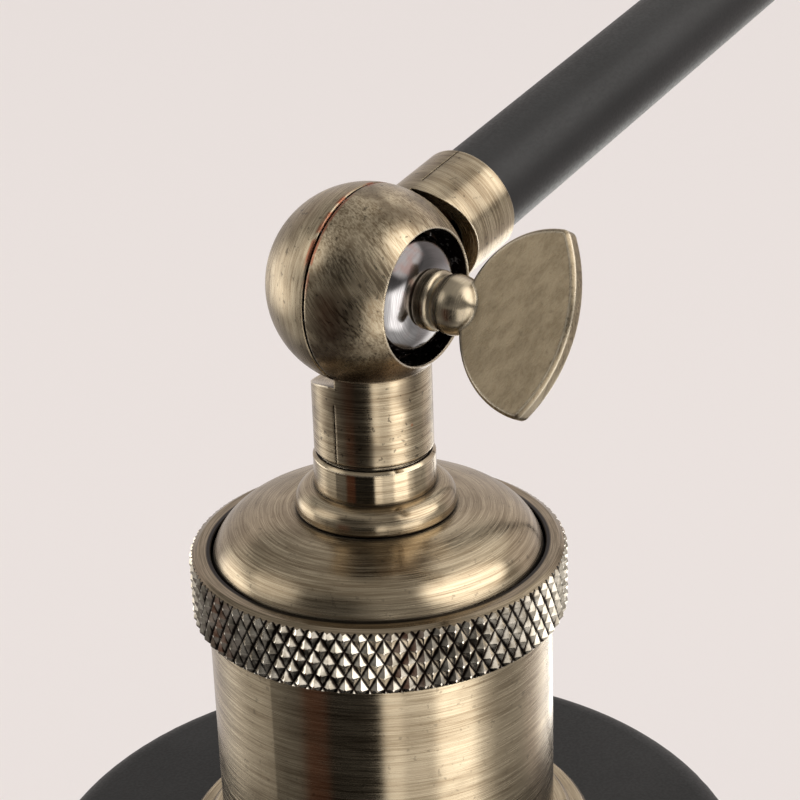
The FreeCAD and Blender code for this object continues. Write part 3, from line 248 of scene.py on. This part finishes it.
def make_world():
    """A pale room: dark in front, a large soft light to the upper right, pale behind the lamp."""
    world = bpy.data.worlds.new("studio")
    bpy.context.scene.world = world
    world.use_nodes = True
    graph = Graph(world.node_tree)
    direction = graph.add("ShaderNodeTexCoord").outputs["Generated"]
    sideways = graph.vector("DOT_PRODUCT", direction, tuple(room_direction(90, 0)))
    closer = graph.vector("DOT_PRODUCT", direction, tuple(room_direction(0, 0)))
    height = graph.add("ShaderNodeSeparateXYZ", {0: direction}).outputs[2]
    turn = graph.math("MULTIPLY_ADD", graph.math("ARCTAN2", sideways, closer), 0.5 / math.pi, 0.5)
    bands = graph.ramp(turn, [((angle + 180) / 360, toned(ROOM_SCALE, colour))
                              for angle, colour in studio_bands()])
    ceiling = graph.ramp(height, [(place, toned(level * ROOM_SCALE)) for place, level in
                                  ((0.0, 0.28), (0.5, 0.30), (0.7, 0.42), (1.0, 0.5))])
    back = graph.spread(closer, 0.0, -0.35)
    for *place, level in CEILING_PATCHES:
        ceiling = graph.mix(patch(graph, direction, *place), ceiling, toned(level * ROOM_SCALE))
    boundary = graph.math("MULTIPLY", back, 0.47)
    raised = graph.math("SUBTRACT", height, boundary)
    room = graph.mix(graph.spread(raised, 0.0, 0.13), bands, ceiling)
    room = graph.mix(patch(graph, direction, -114, -4, 10, 26), room,
                     toned(2.8 * ROOM_SCALE))
    under = graph.mix(patch(graph, direction, 70, -65, 15, 50),
                      toned(0.2 * ROOM_SCALE, BACKDROP), toned(0.8 * ROOM_SCALE))
    room = graph.mix(graph.spread(height, -0.60, -0.74), room, under)
    room = graph.mix(patch(graph, direction, 150, -46, 14, 26), room,
                     toned(3.2 * ROOM_SCALE))
    lit = graph.add("ShaderNodeBackground", {"Color": room,
                                             "Strength": 1 / ROOM_SCALE}).outputs[0]
    plain = graph.add("ShaderNodeBackground", {"Color": (*BACKDROP, 1)}).outputs[0]
    soft = graph.add("ShaderNodeBackground", {"Color": (*SHADOWLESS, 1)}).outputs[0]
    path = graph.add("ShaderNodeLightPath").outputs
    mirrored = graph.add("ShaderNodeMixShader", {0: path["Is Glossy Ray"], 1: soft, 2: lit})
    shader = graph.add("ShaderNodeMixShader", {0: path["Is Camera Ray"],
                                               1: mirrored.outputs[0], 2: plain}).outputs[0]
    graph.add("ShaderNodeOutputWorld", {"Surface": shader})


def make_floor():
    size = FLOOR_REACH
    mesh = bpy.data.meshes.new("floor")
    corners = [(-size, -size, 0), (size, -size, 0), (size, size, 0), (-size, size, 0)]
    mesh.from_pydata(corners, [], [(0, 1, 2, 3)])
    floor = bpy.data.objects.new("floor", mesh)
    bpy.context.collection.objects.link(floor)
    floor.visible_glossy = False
    material = bpy.data.materials.new("floor")
    material.use_nodes = True
    graph = Graph(material.node_tree)
    shader = graph.add("ShaderNodeBsdfPrincipled", {"Base Color": (*FLOOR_COLOUR, 1),
                                                    "Roughness": 0.9})
    shader.inputs["Specular IOR Level"].default_value = 0.1
    graph.add("ShaderNodeOutputMaterial", {"Surface": shader.outputs[0]})
    mesh.materials.append(material)


def area_light(name, place, target, size, power, colour=(1, 1, 1)):
    data = bpy.data.lights.new(name, "AREA")
    data.shape = "SQUARE"
    data.size = size
    data.energy = power
    data.color = colour
    lamp = bpy.data.objects.new(name, data)
    bpy.context.collection.objects.link(lamp)
    lamp.location = place
    lamp.rotation_euler = (Vector(target) - Vector(place)).to_track_quat("-Z", "Y").to_euler()
    lamp.visible_glossy = False


def make_lights():
    right, _, forward = view_axes()
    toward = Vector((-forward.x, -forward.y, 0)).normalized()
    area_light("top_light", HEAD + UP * 1.6 + toward * 0.3, HEAD, 1.6, 2.4, (1, 0.985, 0.96))
    area_light("right_light", HEAD + right * 1.3 + toward * 0.9 + UP * 0.7, HEAD, 1.0, 2)


# ---------------------------------------------------------------- materials

def new_material(name):
    """A material with an empty graph, and the position in the object's own frame."""
    material = bpy.data.materials.new(name)
    material.use_nodes = True
    graph = Graph(material.node_tree)
    return material, graph, graph.add("ShaderNodeTexCoord").outputs["Object"]


def principled(graph, inputs):
    shader = graph.add("ShaderNodeBsdfPrincipled", inputs)
    graph.add("ShaderNodeOutputMaterial", {"Surface": shader.outputs[0]})
    return shader


def around(graph, position, centre, axis):
    """Distance along an axis, distance from it, and the unit direction away from it."""
    offset = graph.vector("SUBTRACT", position, tuple(centre))
    along = graph.vector("DOT_PRODUCT", offset, tuple(axis))
    foot = graph.scale(tuple(axis), along)
    out = graph.vector("SUBTRACT", offset, foot)
    radius = graph.vector("LENGTH", out)
    away = graph.vector("NORMALIZE", out)
    return along, radius, away


BROAD_SCALE = 0.22                # of the broad streaks' noise, where the fine ones have 1


def turning_streaks(graph, position, centre, axis, size, length, width):
    """Fine brushing round an axis; size is the piece's radius, length and width a streak's."""
    along, radius, away = around(graph, position, centre, axis)
    circle = graph.scale(away, size / length)
    level = graph.math("MULTIPLY", along, 1 / width)
    shifted = graph.vector("ADD", circle, graph.scale(tuple(axis), level))
    depth = graph.math("MULTIPLY", radius, 1 / width)
    fine = graph.noise(shifted, 1.0, 3.0, w=depth)
    broad = graph.noise(shifted, BROAD_SCALE, 2.0, w=depth)
    tangent = graph.vector("CROSS_PRODUCT", tuple(axis), away)
    return fine, broad, tangent


def straight_streaks(graph, position, direction, length, width):
    """Fine brushing along a straight direction."""
    along = graph.vector("DOT_PRODUCT", position, tuple(direction))
    squeezed = graph.scale(tuple(direction), graph.math("MULTIPLY", along, 1 / length - 1 / width))
    point = graph.vector("ADD", graph.scale(position, 1 / width), squeezed)
    fine = graph.noise(point, 1.0, 3.0)
    broad = graph.noise(point, BROAD_SCALE, 2.0)
    tangent = graph.vector("ADD", (0, 0, 0), tuple(direction))
    return fine, broad, tangent


BRONZE_BRIGHT = (0.86, 0.76, 0.61)
BRONZE_LIGHT = (0.50, 0.415, 0.295)
BRONZE_MID = (0.22, 0.165, 0.105)
BRONZE_DARK = (0.055, 0.036, 0.022)
# Near-black of soot and pits, also used for painted shade.
SOOT_AND_SHADE = (0.012, 0.008, 0.006)
RUST = (0.36, 0.09, 0.02)
# Dark brown for painted shade at the dome's foot and for the balls' darker undersides.
DARK_BROWN = (0.07, 0.04, 0.024)
SEAM_RED = (0.30, 0.125, 0.075)
RECESS_FLECK = (0.30, 0.29, 0.28)
CORE_BRONZE = (0.46, 0.39, 0.29)
EDGE_ROUND = 0.22 * MM


def worn_and_highlit_edges(graph, radius):
    """A normal that rounds sharp edges, and 1 on those edges falling to 0 beside them."""
    rounded = graph.add("ShaderNodeBevel", {"Radius": radius}, samples=6).outputs[0]
    flat = graph.add("ShaderNodeNewGeometry").outputs["Normal"]
    likeness = graph.vector("DOT_PRODUCT", rounded, flat)
    return rounded, graph.spread(likeness, 0.99, 0.90)


def bronze(name, streaks, roughness=0.22, anisotropy=0.85, patina=0.5, bump=0.03, rust=True,
           light=BRONZE_LIGHT, mid=BRONZE_MID, grime_and_shade_reach=1.2, edge_wear_and_highlight=0.85, pits=0.3, darkening=None,
           hollow=None, seam=None, core=None, edge_round=EDGE_ROUND):
    """Aged bronze: brushed, bright on worn edges with painted edge highlights, dark in crevices
    with grime and painted shade, dark in pits, specks of rust.
    """
    material, graph, position = new_material(name)
    fine, broad, tangent = streaks(graph, position)
    cloud = graph.noise(position, 160.0, 3.0)
    speck = graph.noise(position, 900.0, 2.0)
    fine_tone = graph.spread(fine, 0.36, 0.64)
    broad_tone = graph.spread(broad, 0.34, 0.66)
    tone = graph.math("ADD", graph.math("MULTIPLY", fine_tone, 0.6),
                      graph.math("MULTIPLY", broad_tone, 0.4))
    colour = graph.mix(tone, mid, light)
    tarnish = graph.math("MULTIPLY", graph.spread(cloud, 0.46, 0.68), patina)
    colour = graph.mix(tarnish, colour, BRONZE_DARK)
    # Darker brown where asked: painted shade at the socket dome's foot, and darker towards the
    # balls' undersides.
    if darkening:
        colour = graph.mix(darkening(graph, position), colour, DARK_BROWN)
    pit = graph.math("MULTIPLY", graph.spread(graph.noise(position, 1500.0, 2.0), 0.64, 0.72), pits)
    colour = graph.mix(pit, colour, SOOT_AND_SHADE)
    # Ambient occlusion darkens crevices towards near-black: grime and painted shade.
    occlusion = graph.add("ShaderNodeAmbientOcclusion", {"Distance": grime_and_shade_reach * MM},
                        samples=6).outputs["AO"]
    grime_and_shade = graph.spread(occlusion, 0.80, 0.35)
    if rust:
        cells = graph.add("ShaderNodeTexVoronoi", {"Vector": position, "Scale": 260.0})
        spot = graph.spread(cells.outputs["Distance"], 0.10, 0.05)
        chosen = graph.spread(graph.add("ShaderNodeSeparateColor",
                                        {0: cells.outputs["Color"]}).outputs[0], 0.93, 0.94)
        colour = graph.mix(graph.math("MULTIPLY", spot, chosen), colour, RUST)
    rounded, edge = worn_and_highlit_edges(graph, edge_round)
    open_surface = graph.math("SUBTRACT", 1.0, grime_and_shade)
    if seam:
        beside, reddish = seam(graph, position)
        open_surface = graph.math("MULTIPLY", open_surface, graph.math("SUBTRACT", 1.0, beside))
    edge = graph.math("MULTIPLY", edge, graph.math("MULTIPLY", open_surface, edge_wear_and_highlight))
    # Sharp edges lightened towards pale bronze: wear, and a painted edge highlight.
    colour = graph.mix(edge, colour, BRONZE_BRIGHT)
    # Grime and painted shade in crevices.
    colour = graph.mix(grime_and_shade, colour, SOOT_AND_SHADE)
    if seam:
        colour = graph.mix(reddish, colour, SEAM_RED)
    if hollow:
        # Recess surfaces turn near-black with pale flecks.
        recess_fleck = graph.spread(graph.noise(position, 1400.0, 3.0), 0.60, 0.66)
        recess_black = graph.mix(recess_fleck, SOOT_AND_SHADE, RECESS_FLECK)
        colour = graph.mix(hollow(graph, position), colour, recess_black)
    rough = graph.math("ADD", graph.spread(fine, 0.2, 0.8, roughness - 0.06, roughness + 0.10),
                       graph.math("MULTIPLY", tarnish, 0.12))
    rough = graph.math("ADD", rough, graph.math("MULTIPLY", grime_and_shade, 0.25))
    if core:
        inner = core(graph, position)
        colour = graph.mix(graph.math("MULTIPLY", inner, 0.7), colour, CORE_BRONZE)
        rough = graph.math("MULTIPLY_ADD", inner, -0.10, rough)
    height = graph.math("ADD", fine, graph.math("MULTIPLY", speck, 0.15))
    height = graph.math("SUBTRACT", height, pit)
    relief = graph.bump(bump * 10, 0.01, height, rounded)
    world_tangent = graph.to_world(tangent, "VECTOR")
    principled(graph, {"Base Color": colour, "Metallic": 1.0, "Roughness": rough,
                       "Anisotropic": anisotropy, "Anisotropic Rotation": 0.25,
                       "Tangent": world_tangent, "Normal": relief})
    return material


def knurled_bronze(name, centre, tips):
    """Bright silvery facets over valleys that hold soot and painted shade; the inner lip is painted
    shade.
    """
    material, graph, position = new_material(name)
    radius = around(graph, position, centre, UP)[1]
    up = graph.add("ShaderNodeSeparateXYZ",
                   {0: graph.add("ShaderNodeNewGeometry").outputs["Normal"]}).outputs[2]
    smudge = graph.noise(position, 700.0, 3.0)
    face = graph.mix(graph.spread(smudge, 0.35, 0.65), (0.42, 0.37, 0.30), (0.78, 0.71, 0.61))
    ragged = graph.math("MULTIPLY_ADD", smudge, 0.30 * MM, -0.15 * MM)
    level = graph.math("ADD", radius, ragged)
    # The valleys fall to near-black: grime and painted shade.
    depth = graph.spread(level, tips - 0.46 * MM, tips - 0.30 * MM)
    side = graph.mix(depth, SOOT_AND_SHADE, face)
    streak = turning_streaks(graph, position, centre, UP, tips, 5 * MM, 0.11 * MM)[0]
    top = graph.mix(graph.spread(streak, 0.38, 0.62), (0.19, 0.15, 0.10), (0.33, 0.265, 0.19))
    colour = graph.mix(graph.spread(up, 0.45, 0.60), side, top)
    # The inner lip beside the dome is painted near-black as shade.
    inner_lip_shade = graph.spread(radius, tips - 1.9 * MM, tips - 2.15 * MM)
    colour = graph.mix(inner_lip_shade, colour, SOOT_AND_SHADE)
    relief = graph.bump(0.3, 0.01, smudge)
    rough = graph.spread(smudge, 0.3, 0.7, 0.10, 0.22)
    principled(graph, {"Base Color": colour, "Metallic": 1.0, "Roughness": rough,
                       "Normal": relief})
    return material


SCREW_HUB = 12.30 * MM              # of a wing screw's ball from the knuckle's middle
WASHER_CONE = math.radians(28)       # lean of the face that most of the washer's dish follows


def polished_steel(name, centre):
    """Dark polished steel with fine turning marks, red-brown patches towards its upper side, and
    painted shade above and below its middle.
    """
    material, graph, position = new_material(name)
    fine = turning_streaks(graph, position, centre, HINGE, 6 * MM, 3 * MM, 0.12 * MM)[0]
    blotches = graph.noise(position, 420.0, 3.0)
    above = graph.vector("DOT_PRODUCT", graph.vector("SUBTRACT", position, tuple(centre)),
                         tuple(UP))
    # Red-brown patches towards the upper side.
    red = graph.math("MULTIPLY", graph.spread(blotches, 0.50, 0.66),
                     graph.spread(above, 1 * MM, 4 * MM, 0.1, 0.6))
    colour = graph.mix(graph.spread(fine, 0.35, 0.65), (0.26, 0.25, 0.255), (0.34, 0.33, 0.335))
    colour = graph.mix(red, colour, (0.34, 0.13, 0.09))
    # Darker above and below the middle band: painted shade.
    aside = graph.math("ABSOLUTE", graph.math("ADD", above, 0.6 * MM))
    colour = graph.mix(graph.spread(aside, 2.2 * MM, 4.4 * MM, 0.0, 0.8), colour,
                       (0.07, 0.062, 0.062))
    away = around(graph, position, centre, HINGE)[2]
    cone = graph.vector("ADD", graph.scale(away, math.sin(WASHER_CONE)),
                        tuple(HINGE * math.cos(WASHER_CONE)))
    cone = graph.to_world(cone, "NORMAL")
    shape = graph.add("ShaderNodeNewGeometry").outputs["Normal"]
    facing = graph.spread(graph.vector("DOT_PRODUCT", shape, cone), 0.55, 0.85, 0.0, 0.55)
    flatter = graph.vector("NORMALIZE", graph.choose(facing, shape, cone, "VECTOR"))
    relief = graph.bump(0.12, 0.01, fine, flatter)
    rough = graph.spread(blotches, 0.3, 0.7, 0.10, 0.18)
    principled(graph, {"Base Color": colour, "Metallic": 1.0, "Roughness": rough,
                       "Normal": relief})
    return material


def black_paint(name, roughness, grain, colour=(0.012, 0.0115, 0.012), coarse=2600.0):
    """Powder coat: fine grain in the surface, and faint dust-pale unevenness."""
    material, graph, position = new_material(name)
    fine = graph.noise(position, coarse, 2.0)
    cloud = graph.noise(position, 45.0, 3.0)
    lighter = tuple(part * 1.5 + 0.004 for part in colour)
    shade = graph.mix(graph.spread(cloud, 0.35, 0.7), colour, lighter)
    rough = graph.spread(fine, 0.3, 0.7, roughness - 0.05, roughness + 0.05)
    relief = graph.bump(0.6, grain, fine)
    principled(graph, {"Base Color": shade, "Roughness": rough, "Specular IOR Level": 0.3,
                       "Normal": relief})
    return material


def plain_metal(name, colour, roughness):
    """Plated steel or brass with faint tool marks."""
    material, graph, position = new_material(name)
    fine = graph.noise(position, 1500.0, 3.0)
    darker = tuple(part * 0.7 for part in colour)
    tone = graph.mix(graph.spread(fine, 0.3, 0.7), darker, colour)
    rough = graph.spread(fine, 0.25, 0.75, roughness - 0.06, roughness + 0.08)
    relief = graph.bump(0.4, 0.01, fine)
    principled(graph, {"Base Color": tone, "Metallic": 1.0, "Roughness": rough,
                       "Normal": relief})
    return material


def plain_surface(name, colour, roughness, grain=1200.0, depth=0.01, spread=0.8):
    """Rubber, plastic, fibre or porcelain with a faint grain."""
    material, graph, position = new_material(name)
    fine = graph.noise(position, grain, 3.0)
    darker = tuple(part * spread for part in colour)
    tone = graph.mix(graph.spread(fine, 0.3, 0.7), darker, colour)
    relief = graph.bump(0.5, depth, fine)
    principled(graph, {"Base Color": tone, "Roughness": roughness, "Normal": relief})
    return material


def frosted_glass(name):
    """Pale glass that is partly clear."""
    material, graph, position = new_material(name)
    fine = graph.noise(position, 1800.0, 2.0)
    rough = graph.spread(fine, 0.3, 0.7, 0.3, 0.42)
    principled(graph, {"Base Color": (0.93, 0.92, 0.89, 1), "Roughness": rough,
                       "Transmission Weight": 0.55, "IOR": 1.45})
    return material


def paint(node, material):
    """Give a CAD node's own slots a new material."""
    piece = frame["nodes"][node]
    if not piece.material_slots:
        piece.data.materials.append(material)
    for slot in piece.material_slots:
        slot.material = material


def paint_all():
    """Give every CAD node its material."""
    def around_z(node, size, length=5.0, width=0.11):
        return lambda graph, position: turning_streaks(graph, position, middle(node), UP,
                                                       size * MM, length * MM, width * MM)

    ball_low, ball_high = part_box("head_front_half")
    ball_size = (ball_high.x - ball_low.x) / 2

    def reach(graph, position, centre):
        """Distance from a ball's centre."""
        return graph.vector("LENGTH", graph.vector("SUBTRACT", position, tuple(centre)))

    def casting(centre, tilt, stub, straight=False):
        """Brushing on the ball, across or round it, and round the stub that leaves it."""
        def streaks(graph, position):
            if straight:
                ball = straight_streaks(graph, position, tilt, 3.2 * MM, 0.20 * MM)
            else:
                ball = turning_streaks(graph, position, centre, tilt, 11 * MM, 2.4 * MM,
                                       0.15 * MM)
            neck = turning_streaks(graph, position, centre, stub, 6.6 * MM, 5 * MM, 0.11 * MM)
            outside = graph.spread(reach(graph, position, centre), ball_size + 0.05 * MM,
                                   ball_size + 0.15 * MM)
            return (graph.choose(outside, ball[0], neck[0]),
                    graph.choose(outside, ball[1], neck[1]),
                    graph.choose(outside, ball[2], neck[2], "VECTOR"))
        return streaks

    def darker_underside(centre):
        """Darker brown patches towards the ball's underside."""
        def darkening(graph, position):
            offset = graph.vector("SUBTRACT", position, tuple(centre))
            drop = graph.vector("DOT_PRODUCT", offset, tuple(UP))
            uneven = graph.math("MULTIPLY_ADD", graph.noise(position, 260.0, 3.0), 9 * MM,
                                -4.5 * MM)
            low = graph.spread(graph.math("ADD", drop, uneven), -2 * MM, -8 * MM, 0.0, 0.8)
            inside = graph.spread(reach(graph, position, centre), ball_size + 0.15 * MM,
                                  ball_size + 0.05 * MM)
            return graph.math("MULTIPLY", low, inside)
        return darkening

    def seam_line(centre):
        """1 beside the ball's parting line, and a rusty stretch along its upper part."""
        def seam(graph, position):
            offset = graph.vector("SUBTRACT", position, tuple(centre))
            aside = graph.math("ABSOLUTE", graph.vector("DOT_PRODUCT", offset, tuple(HINGE)))
            near = graph.spread(aside, 0.9 * MM, 0.6 * MM)
            above = graph.spread(graph.vector("DOT_PRODUCT", offset, tuple(UP)), 1 * MM, 5 * MM)
            broken = graph.spread(graph.noise(position, 500.0, 2.0), 0.42, 0.58)
            line = graph.math("MULTIPLY", graph.spread(aside, 0.62 * MM, 0.45 * MM), above)
            inside = graph.spread(reach(graph, position, centre), ball_size + 0.15 * MM,
                                  ball_size + 0.05 * MM)
            return near, graph.math("MULTIPLY", graph.math("MULTIPLY", line, broken), inside)
        return seam

    def sunk(centre):
        """1 on the surfaces below the ball's skin, which are its recesses."""
        return lambda graph, position: graph.spread(reach(graph, position, centre),
                                                    ball_size - 0.22 * MM, ball_size - 0.32 * MM)

    def wing_streaks(centre, blade):
        """Turned marks round the screw's middle, and slanted brushing on the blade."""
        def streaks(graph, position):
            flat = straight_streaks(graph, position, blade, 9 * MM, 0.24 * MM)
            turned = turning_streaks(graph, position, centre, HINGE, 3 * MM, 3 * MM, 0.11 * MM)
            outer = graph.math("SUBTRACT", 1.0, screw_core(centre)(graph, position))
            return (graph.choose(outer, turned[0], flat[0]),
                    graph.choose(outer, turned[1], flat[1]),
                    graph.choose(outer, turned[2], flat[2], "VECTOR"))
        return streaks

    def screw_core(centre):
        """1 on the turned middle of a wing screw, whose metal is smoother and darker."""
        def core(graph, position):
            along, radius, away = around(graph, position, centre, HINGE)
            hub = reach(graph, position, centre + HINGE * SCREW_HUB)
            near = graph.math("MAXIMUM", graph.spread(hub, 3.52 * MM, 3.46 * MM),
                              graph.spread(along, SCREW_HUB - 0.5 * MM, SCREW_HUB - 0.8 * MM))
            return graph.math("MULTIPLY", near, graph.spread(radius, 3.7 * MM, 3.6 * MM))
        return core

    def dome_foot_shade(graph, position):
        """1 round the foot of the socket dome, where it is darkened as painted shade beside the
        knurled ring.
        """
        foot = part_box("socket_dome")[0].z
        level = graph.add("ShaderNodeSeparateXYZ", {0: position}).outputs[2]
        return graph.spread(level, foot + 1.9 * MM, foot + 1.1 * MM)

    right, up, _ = view_axes()
    slanted = (right * 0.54 - up * 0.84).normalized()
    knuckles = (("shoulder", SHOULDER, UP, LOWER_ARM), ("elbow", ELBOW, LOWER_ARM, UPPER_ARM),
                ("head", HEAD, UP, UPPER_ARM))
    for name, centre, front_stub, back_stub in knuckles:
        cast = bronze(name + "_cast", casting(centre, slanted, front_stub, True),
                      roughness=0.24, anisotropy=0.6, patina=0.6, pits=0.6, grime_and_shade_reach=1.6, bump=0.05,
                      darkening=darker_underside(centre), hollow=sunk(centre), seam=seam_line(centre),
                      edge_round=0.36 * MM)
        paint(name + "_front_half", cast)
        back = bronze(name + "_cast_back", casting(centre, HINGE, back_stub), roughness=0.24,
                      patina=0.3, pits=0.5, hollow=sunk(centre), seam=seam_line(centre))
        paint(name + "_back_half", back)
        blade = (HINGE * 0.4 + UP * 0.9).normalized()
        wing_bronze = bronze(name + "_wing", wing_streaks(centre, blade), roughness=0.30,
                             patina=0.05, light=(0.33, 0.265, 0.18), mid=(0.18, 0.14, 0.09),
                             edge_wear_and_highlight=1.0, pits=0.15, grime_and_shade_reach=0.6, core=screw_core(centre),
                             edge_round=0.5 * MM)
        paint(name + "_wing_screw", wing_bronze)
        paint(name + "_washer", polished_steel(name + "_washer", middle(name + "_washer")))
        paint(name + "_nut", plain_metal(name + "_nut", (0.55, 0.55, 0.55), 0.3))
        paint(name + "_friction_washer", plain_surface(name + "_fibre", (0.25, 0.1, 0.06), 0.7))
    rings = {"socket_dome": 17, "socket_shell": 20.5, "head_flange": 8.5, "base_flange": 8.5,
             "base_hub_dome": 22, "shade_ring_upper": 24, "shade_ring_lower": 24,
             "switch_bezel": 8, "head_spacer_ring": 7, "base_spacer_ring": 7}
    for node, size in rings.items():
        smooth = "spacer" in node
        finish = bronze(node + "_bronze", around_z(node, size), roughness=0.12 if smooth else 0.20,
                        patina=0.2, darkening=dome_foot_shade if node == "socket_dome" else None)
        paint(node, finish)
    ring_low, ring_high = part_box("knurled_ring")
    paint("knurled_ring", knurled_bronze("knurl", middle("knurled_ring"),
                                         (ring_high.x - ring_low.x) / 2))
    for node in ("switch_knob", "cord_gland"):
        paint(node, bronze(node + "_bronze", around_z(node, 8), roughness=0.3))
    for node in ("lower_tube", "upper_tube"):
        paint(node, black_paint(node, 0.46, 0.012, (0.007, 0.0062, 0.0064)))
    paint("shade", black_paint("shade", 0.50, 0.02, (0.006, 0.0055, 0.0055)))
    paint("base_cover", black_paint("base_cover", 0.45, 0.02))
    steel = ("base_nipple", "head_nipple", "base_lock_nut", "socket_lock_nut", "gland_nut",
             "base_spring_washer", "base_stop_washer", "base_stop_pin")
    for node in steel:
        paint(node, plain_metal(node, (0.55, 0.54, 0.53), 0.3))
    for node in ("socket_thread_sleeve", "socket_contact", "socket_terminal_screws", "base_bush"):
        paint(node, plain_metal(node, (0.78, 0.58, 0.28), 0.25))
    paint("bulb_cap", plain_metal("bulb_cap", (0.72, 0.72, 0.73), 0.3))
    paint("bulb_filament", plain_metal("bulb_filament", (0.5, 0.48, 0.45), 0.3))
    paint("bulb_glass", frosted_glass("bulb_glass"))
    paint("base_weight", plain_surface("cast_iron", (0.07, 0.07, 0.07), 0.7, 500.0, 0.08))
    paint("base_pad", plain_surface("rubber", (0.03, 0.03, 0.03), 0.8, 900.0, 0.05))
    paint("switch_body", plain_surface("moulded_black", (0.03, 0.03, 0.03), 0.45))
    paint("socket_ceramic", plain_surface("porcelain", (0.85, 0.83, 0.78), 0.2, 300.0, 0.01, 0.95))
    for node in ("base_lead", "base_stem_lead", "lower_lead", "upper_lead", "head_lead"):
        paint(node, plain_surface(node, (0.35, 0.17, 0.07), 0.4))


# ---------------------------------------------------------------- the knurled ring

KNURL_PITCH = 1.8 * MM
KNURL_DEPTH = 0.5 * MM
KNURL_FLAT = 0.12                 # share of each diamond that is left flat at its tip
KNURL_LEAN = math.radians(30)     # of the grooves from upright
RING_BEVEL = 1.0 * MM
RING_RISE = 0.55 * MM
RING_FOOT_BEVEL = 0.4 * MM
RING_LIP = 2.55 * MM              # from the ring's side in to its lip
RING_WALL = 1.79 * MM
RING_LIP_DEPTH = 2.15 * MM
RING_LIP_BEVEL = 0.12 * MM
KNURL_CLEAR = 0.02 * MM           # of the turned body beyond the diamonds' tips
DRUM_PAST = 1 * MM                # of the cutting drum beyond the ring's ends


def mesh_object(name, vertices, faces):
    mesh = bpy.data.meshes.new(name)
    mesh.from_pydata(vertices, [], faces)
    piece = bpy.data.objects.new(name, mesh)
    bpy.context.scene.collection.objects.link(piece)
    return piece


def lathe(name, outline, centre, count=256):
    """A closed ring of revolution about an upright axis, from (radius, height) corners."""
    vertices = []
    for step in range(count):
        turn = 2 * math.pi * step / count
        for radius, height in outline:
            vertices.append((centre.x + radius * math.cos(turn),
                             centre.y + radius * math.sin(turn), height))
    size = len(outline)
    faces = []
    for step in range(count):
        here = step * size
        there = (step + 1) % count * size
        for row in range(size):
            following = (row + 1) % size
            faces.append((here + row, there + row, there + following, here + following))
    return mesh_object(name, vertices, faces)


def diamond_drum(name, centre, radius, bottom, top):
    """A closed drum whose side is covered with four-sided diamonds."""
    columns = round(2 * math.pi * radius / KNURL_PITCH)
    width = 2 * math.pi / columns
    height = 2 * math.pi * radius / columns / math.tan(KNURL_LEAN)
    rows = math.ceil((top - bottom) / (height / 2)) + 2
    low = bottom - height / 2
    mesh = bmesh.new()
    made = {}

    def point(turn, level, out):
        place = (centre.x + out * math.cos(turn), centre.y + out * math.sin(turn), level)
        return mesh.verts.new(place)

    def valley(column, row):
        key = (column % (2 * columns), row)
        if key not in made:
            made[key] = point(key[0] * width / 2, low + row * height / 2, radius - KNURL_DEPTH)
        return made[key]

    for row in range(1, rows):
        for column in range(row % 2, 2 * columns, 2):
            corners = [valley(column, row - 1), valley(column + 1, row), valley(column, row + 1),
                       valley(column - 1, row)]
            turn = column * width / 2
            level = low + row * height / 2
            aside = width / 2 * KNURL_FLAT
            rise = height / 2 * KNURL_FLAT
            tips = [point(turn, level - rise, radius), point(turn + aside, level, radius),
                    point(turn, level + rise, radius), point(turn - aside, level, radius)]
            mesh.faces.new(tips)
            for side in range(4):
                after = (side + 1) % 4
                mesh.faces.new((corners[side], corners[after], tips[after], tips[side]))
    ends = ((bottom, -1), (top, 1))
    for end, outward in ends:
        bmesh.ops.bisect_plane(mesh, geom=mesh.verts[:] + mesh.edges[:] + mesh.faces[:],
                               plane_co=(0, 0, end), plane_no=(0, 0, outward),
                               clear_outer=True)
    half_way = (bottom + top) / 2
    for end, outward in ends:
        rim = [edge for edge in mesh.edges
               if edge.is_boundary and (edge.verts[0].co.z - half_way) * outward > 0]
        bmesh.ops.contextual_create(mesh, geom=rim)
    bmesh.ops.recalc_face_normals(mesh, faces=mesh.faces[:])
    data = bpy.data.meshes.new(name)
    mesh.to_mesh(data)
    mesh.free()
    piece = bpy.data.objects.new(name, data)
    bpy.context.scene.collection.objects.link(piece)
    return piece


def knurled_ring():
    low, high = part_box("knurled_ring")
    centre = (low + high) / 2
    radius = (high.x - low.x) / 2
    shoulder = high.z - RING_RISE
    lip = radius - RING_LIP
    bore = radius - RING_WALL
    lip_foot = high.z - RING_LIP_DEPTH
    outline = [(lip + RING_LIP_BEVEL, high.z), (radius - RING_BEVEL, high.z),
               (radius + KNURL_CLEAR, shoulder - KNURL_CLEAR / 2),
               (radius + KNURL_CLEAR, low.z + RING_FOOT_BEVEL),
               (radius - RING_FOOT_BEVEL, low.z), (bore, low.z), (bore, lip_foot),
               (lip, lip_foot), (lip, high.z - RING_LIP_BEVEL)]
    piece = lathe("knurled_ring_turned", outline, centre)
    drum = diamond_drum("knurl_cutter", centre, radius, low.z - DRUM_PAST, high.z + DRUM_PAST)
    cut = piece.modifiers.new("knurl", "BOOLEAN")
    cut.operation = "INTERSECT"
    cut.solver = "EXACT"
    cut.object = drum
    bpy.context.view_layer.update()
    shape = bpy.data.meshes.new_from_object(
        piece.evaluated_get(bpy.context.evaluated_depsgraph_get()))
    piece.modifiers.clear()
    piece.data = shape
    bpy.data.objects.remove(drum)
    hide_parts("knurled_ring")
    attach(piece, "head")
    return piece


# ---------------------------------------------------------------- the scene

bpy.context.scene.view_settings.view_transform = "Standard"
make_camera()
make_world()
make_floor()
make_lights()
paint_all()
ring = knurled_ring()
ring.data.materials.clear()
ring.data.materials.append(frame["nodes"]["knurled_ring"].material_slots[0].material)
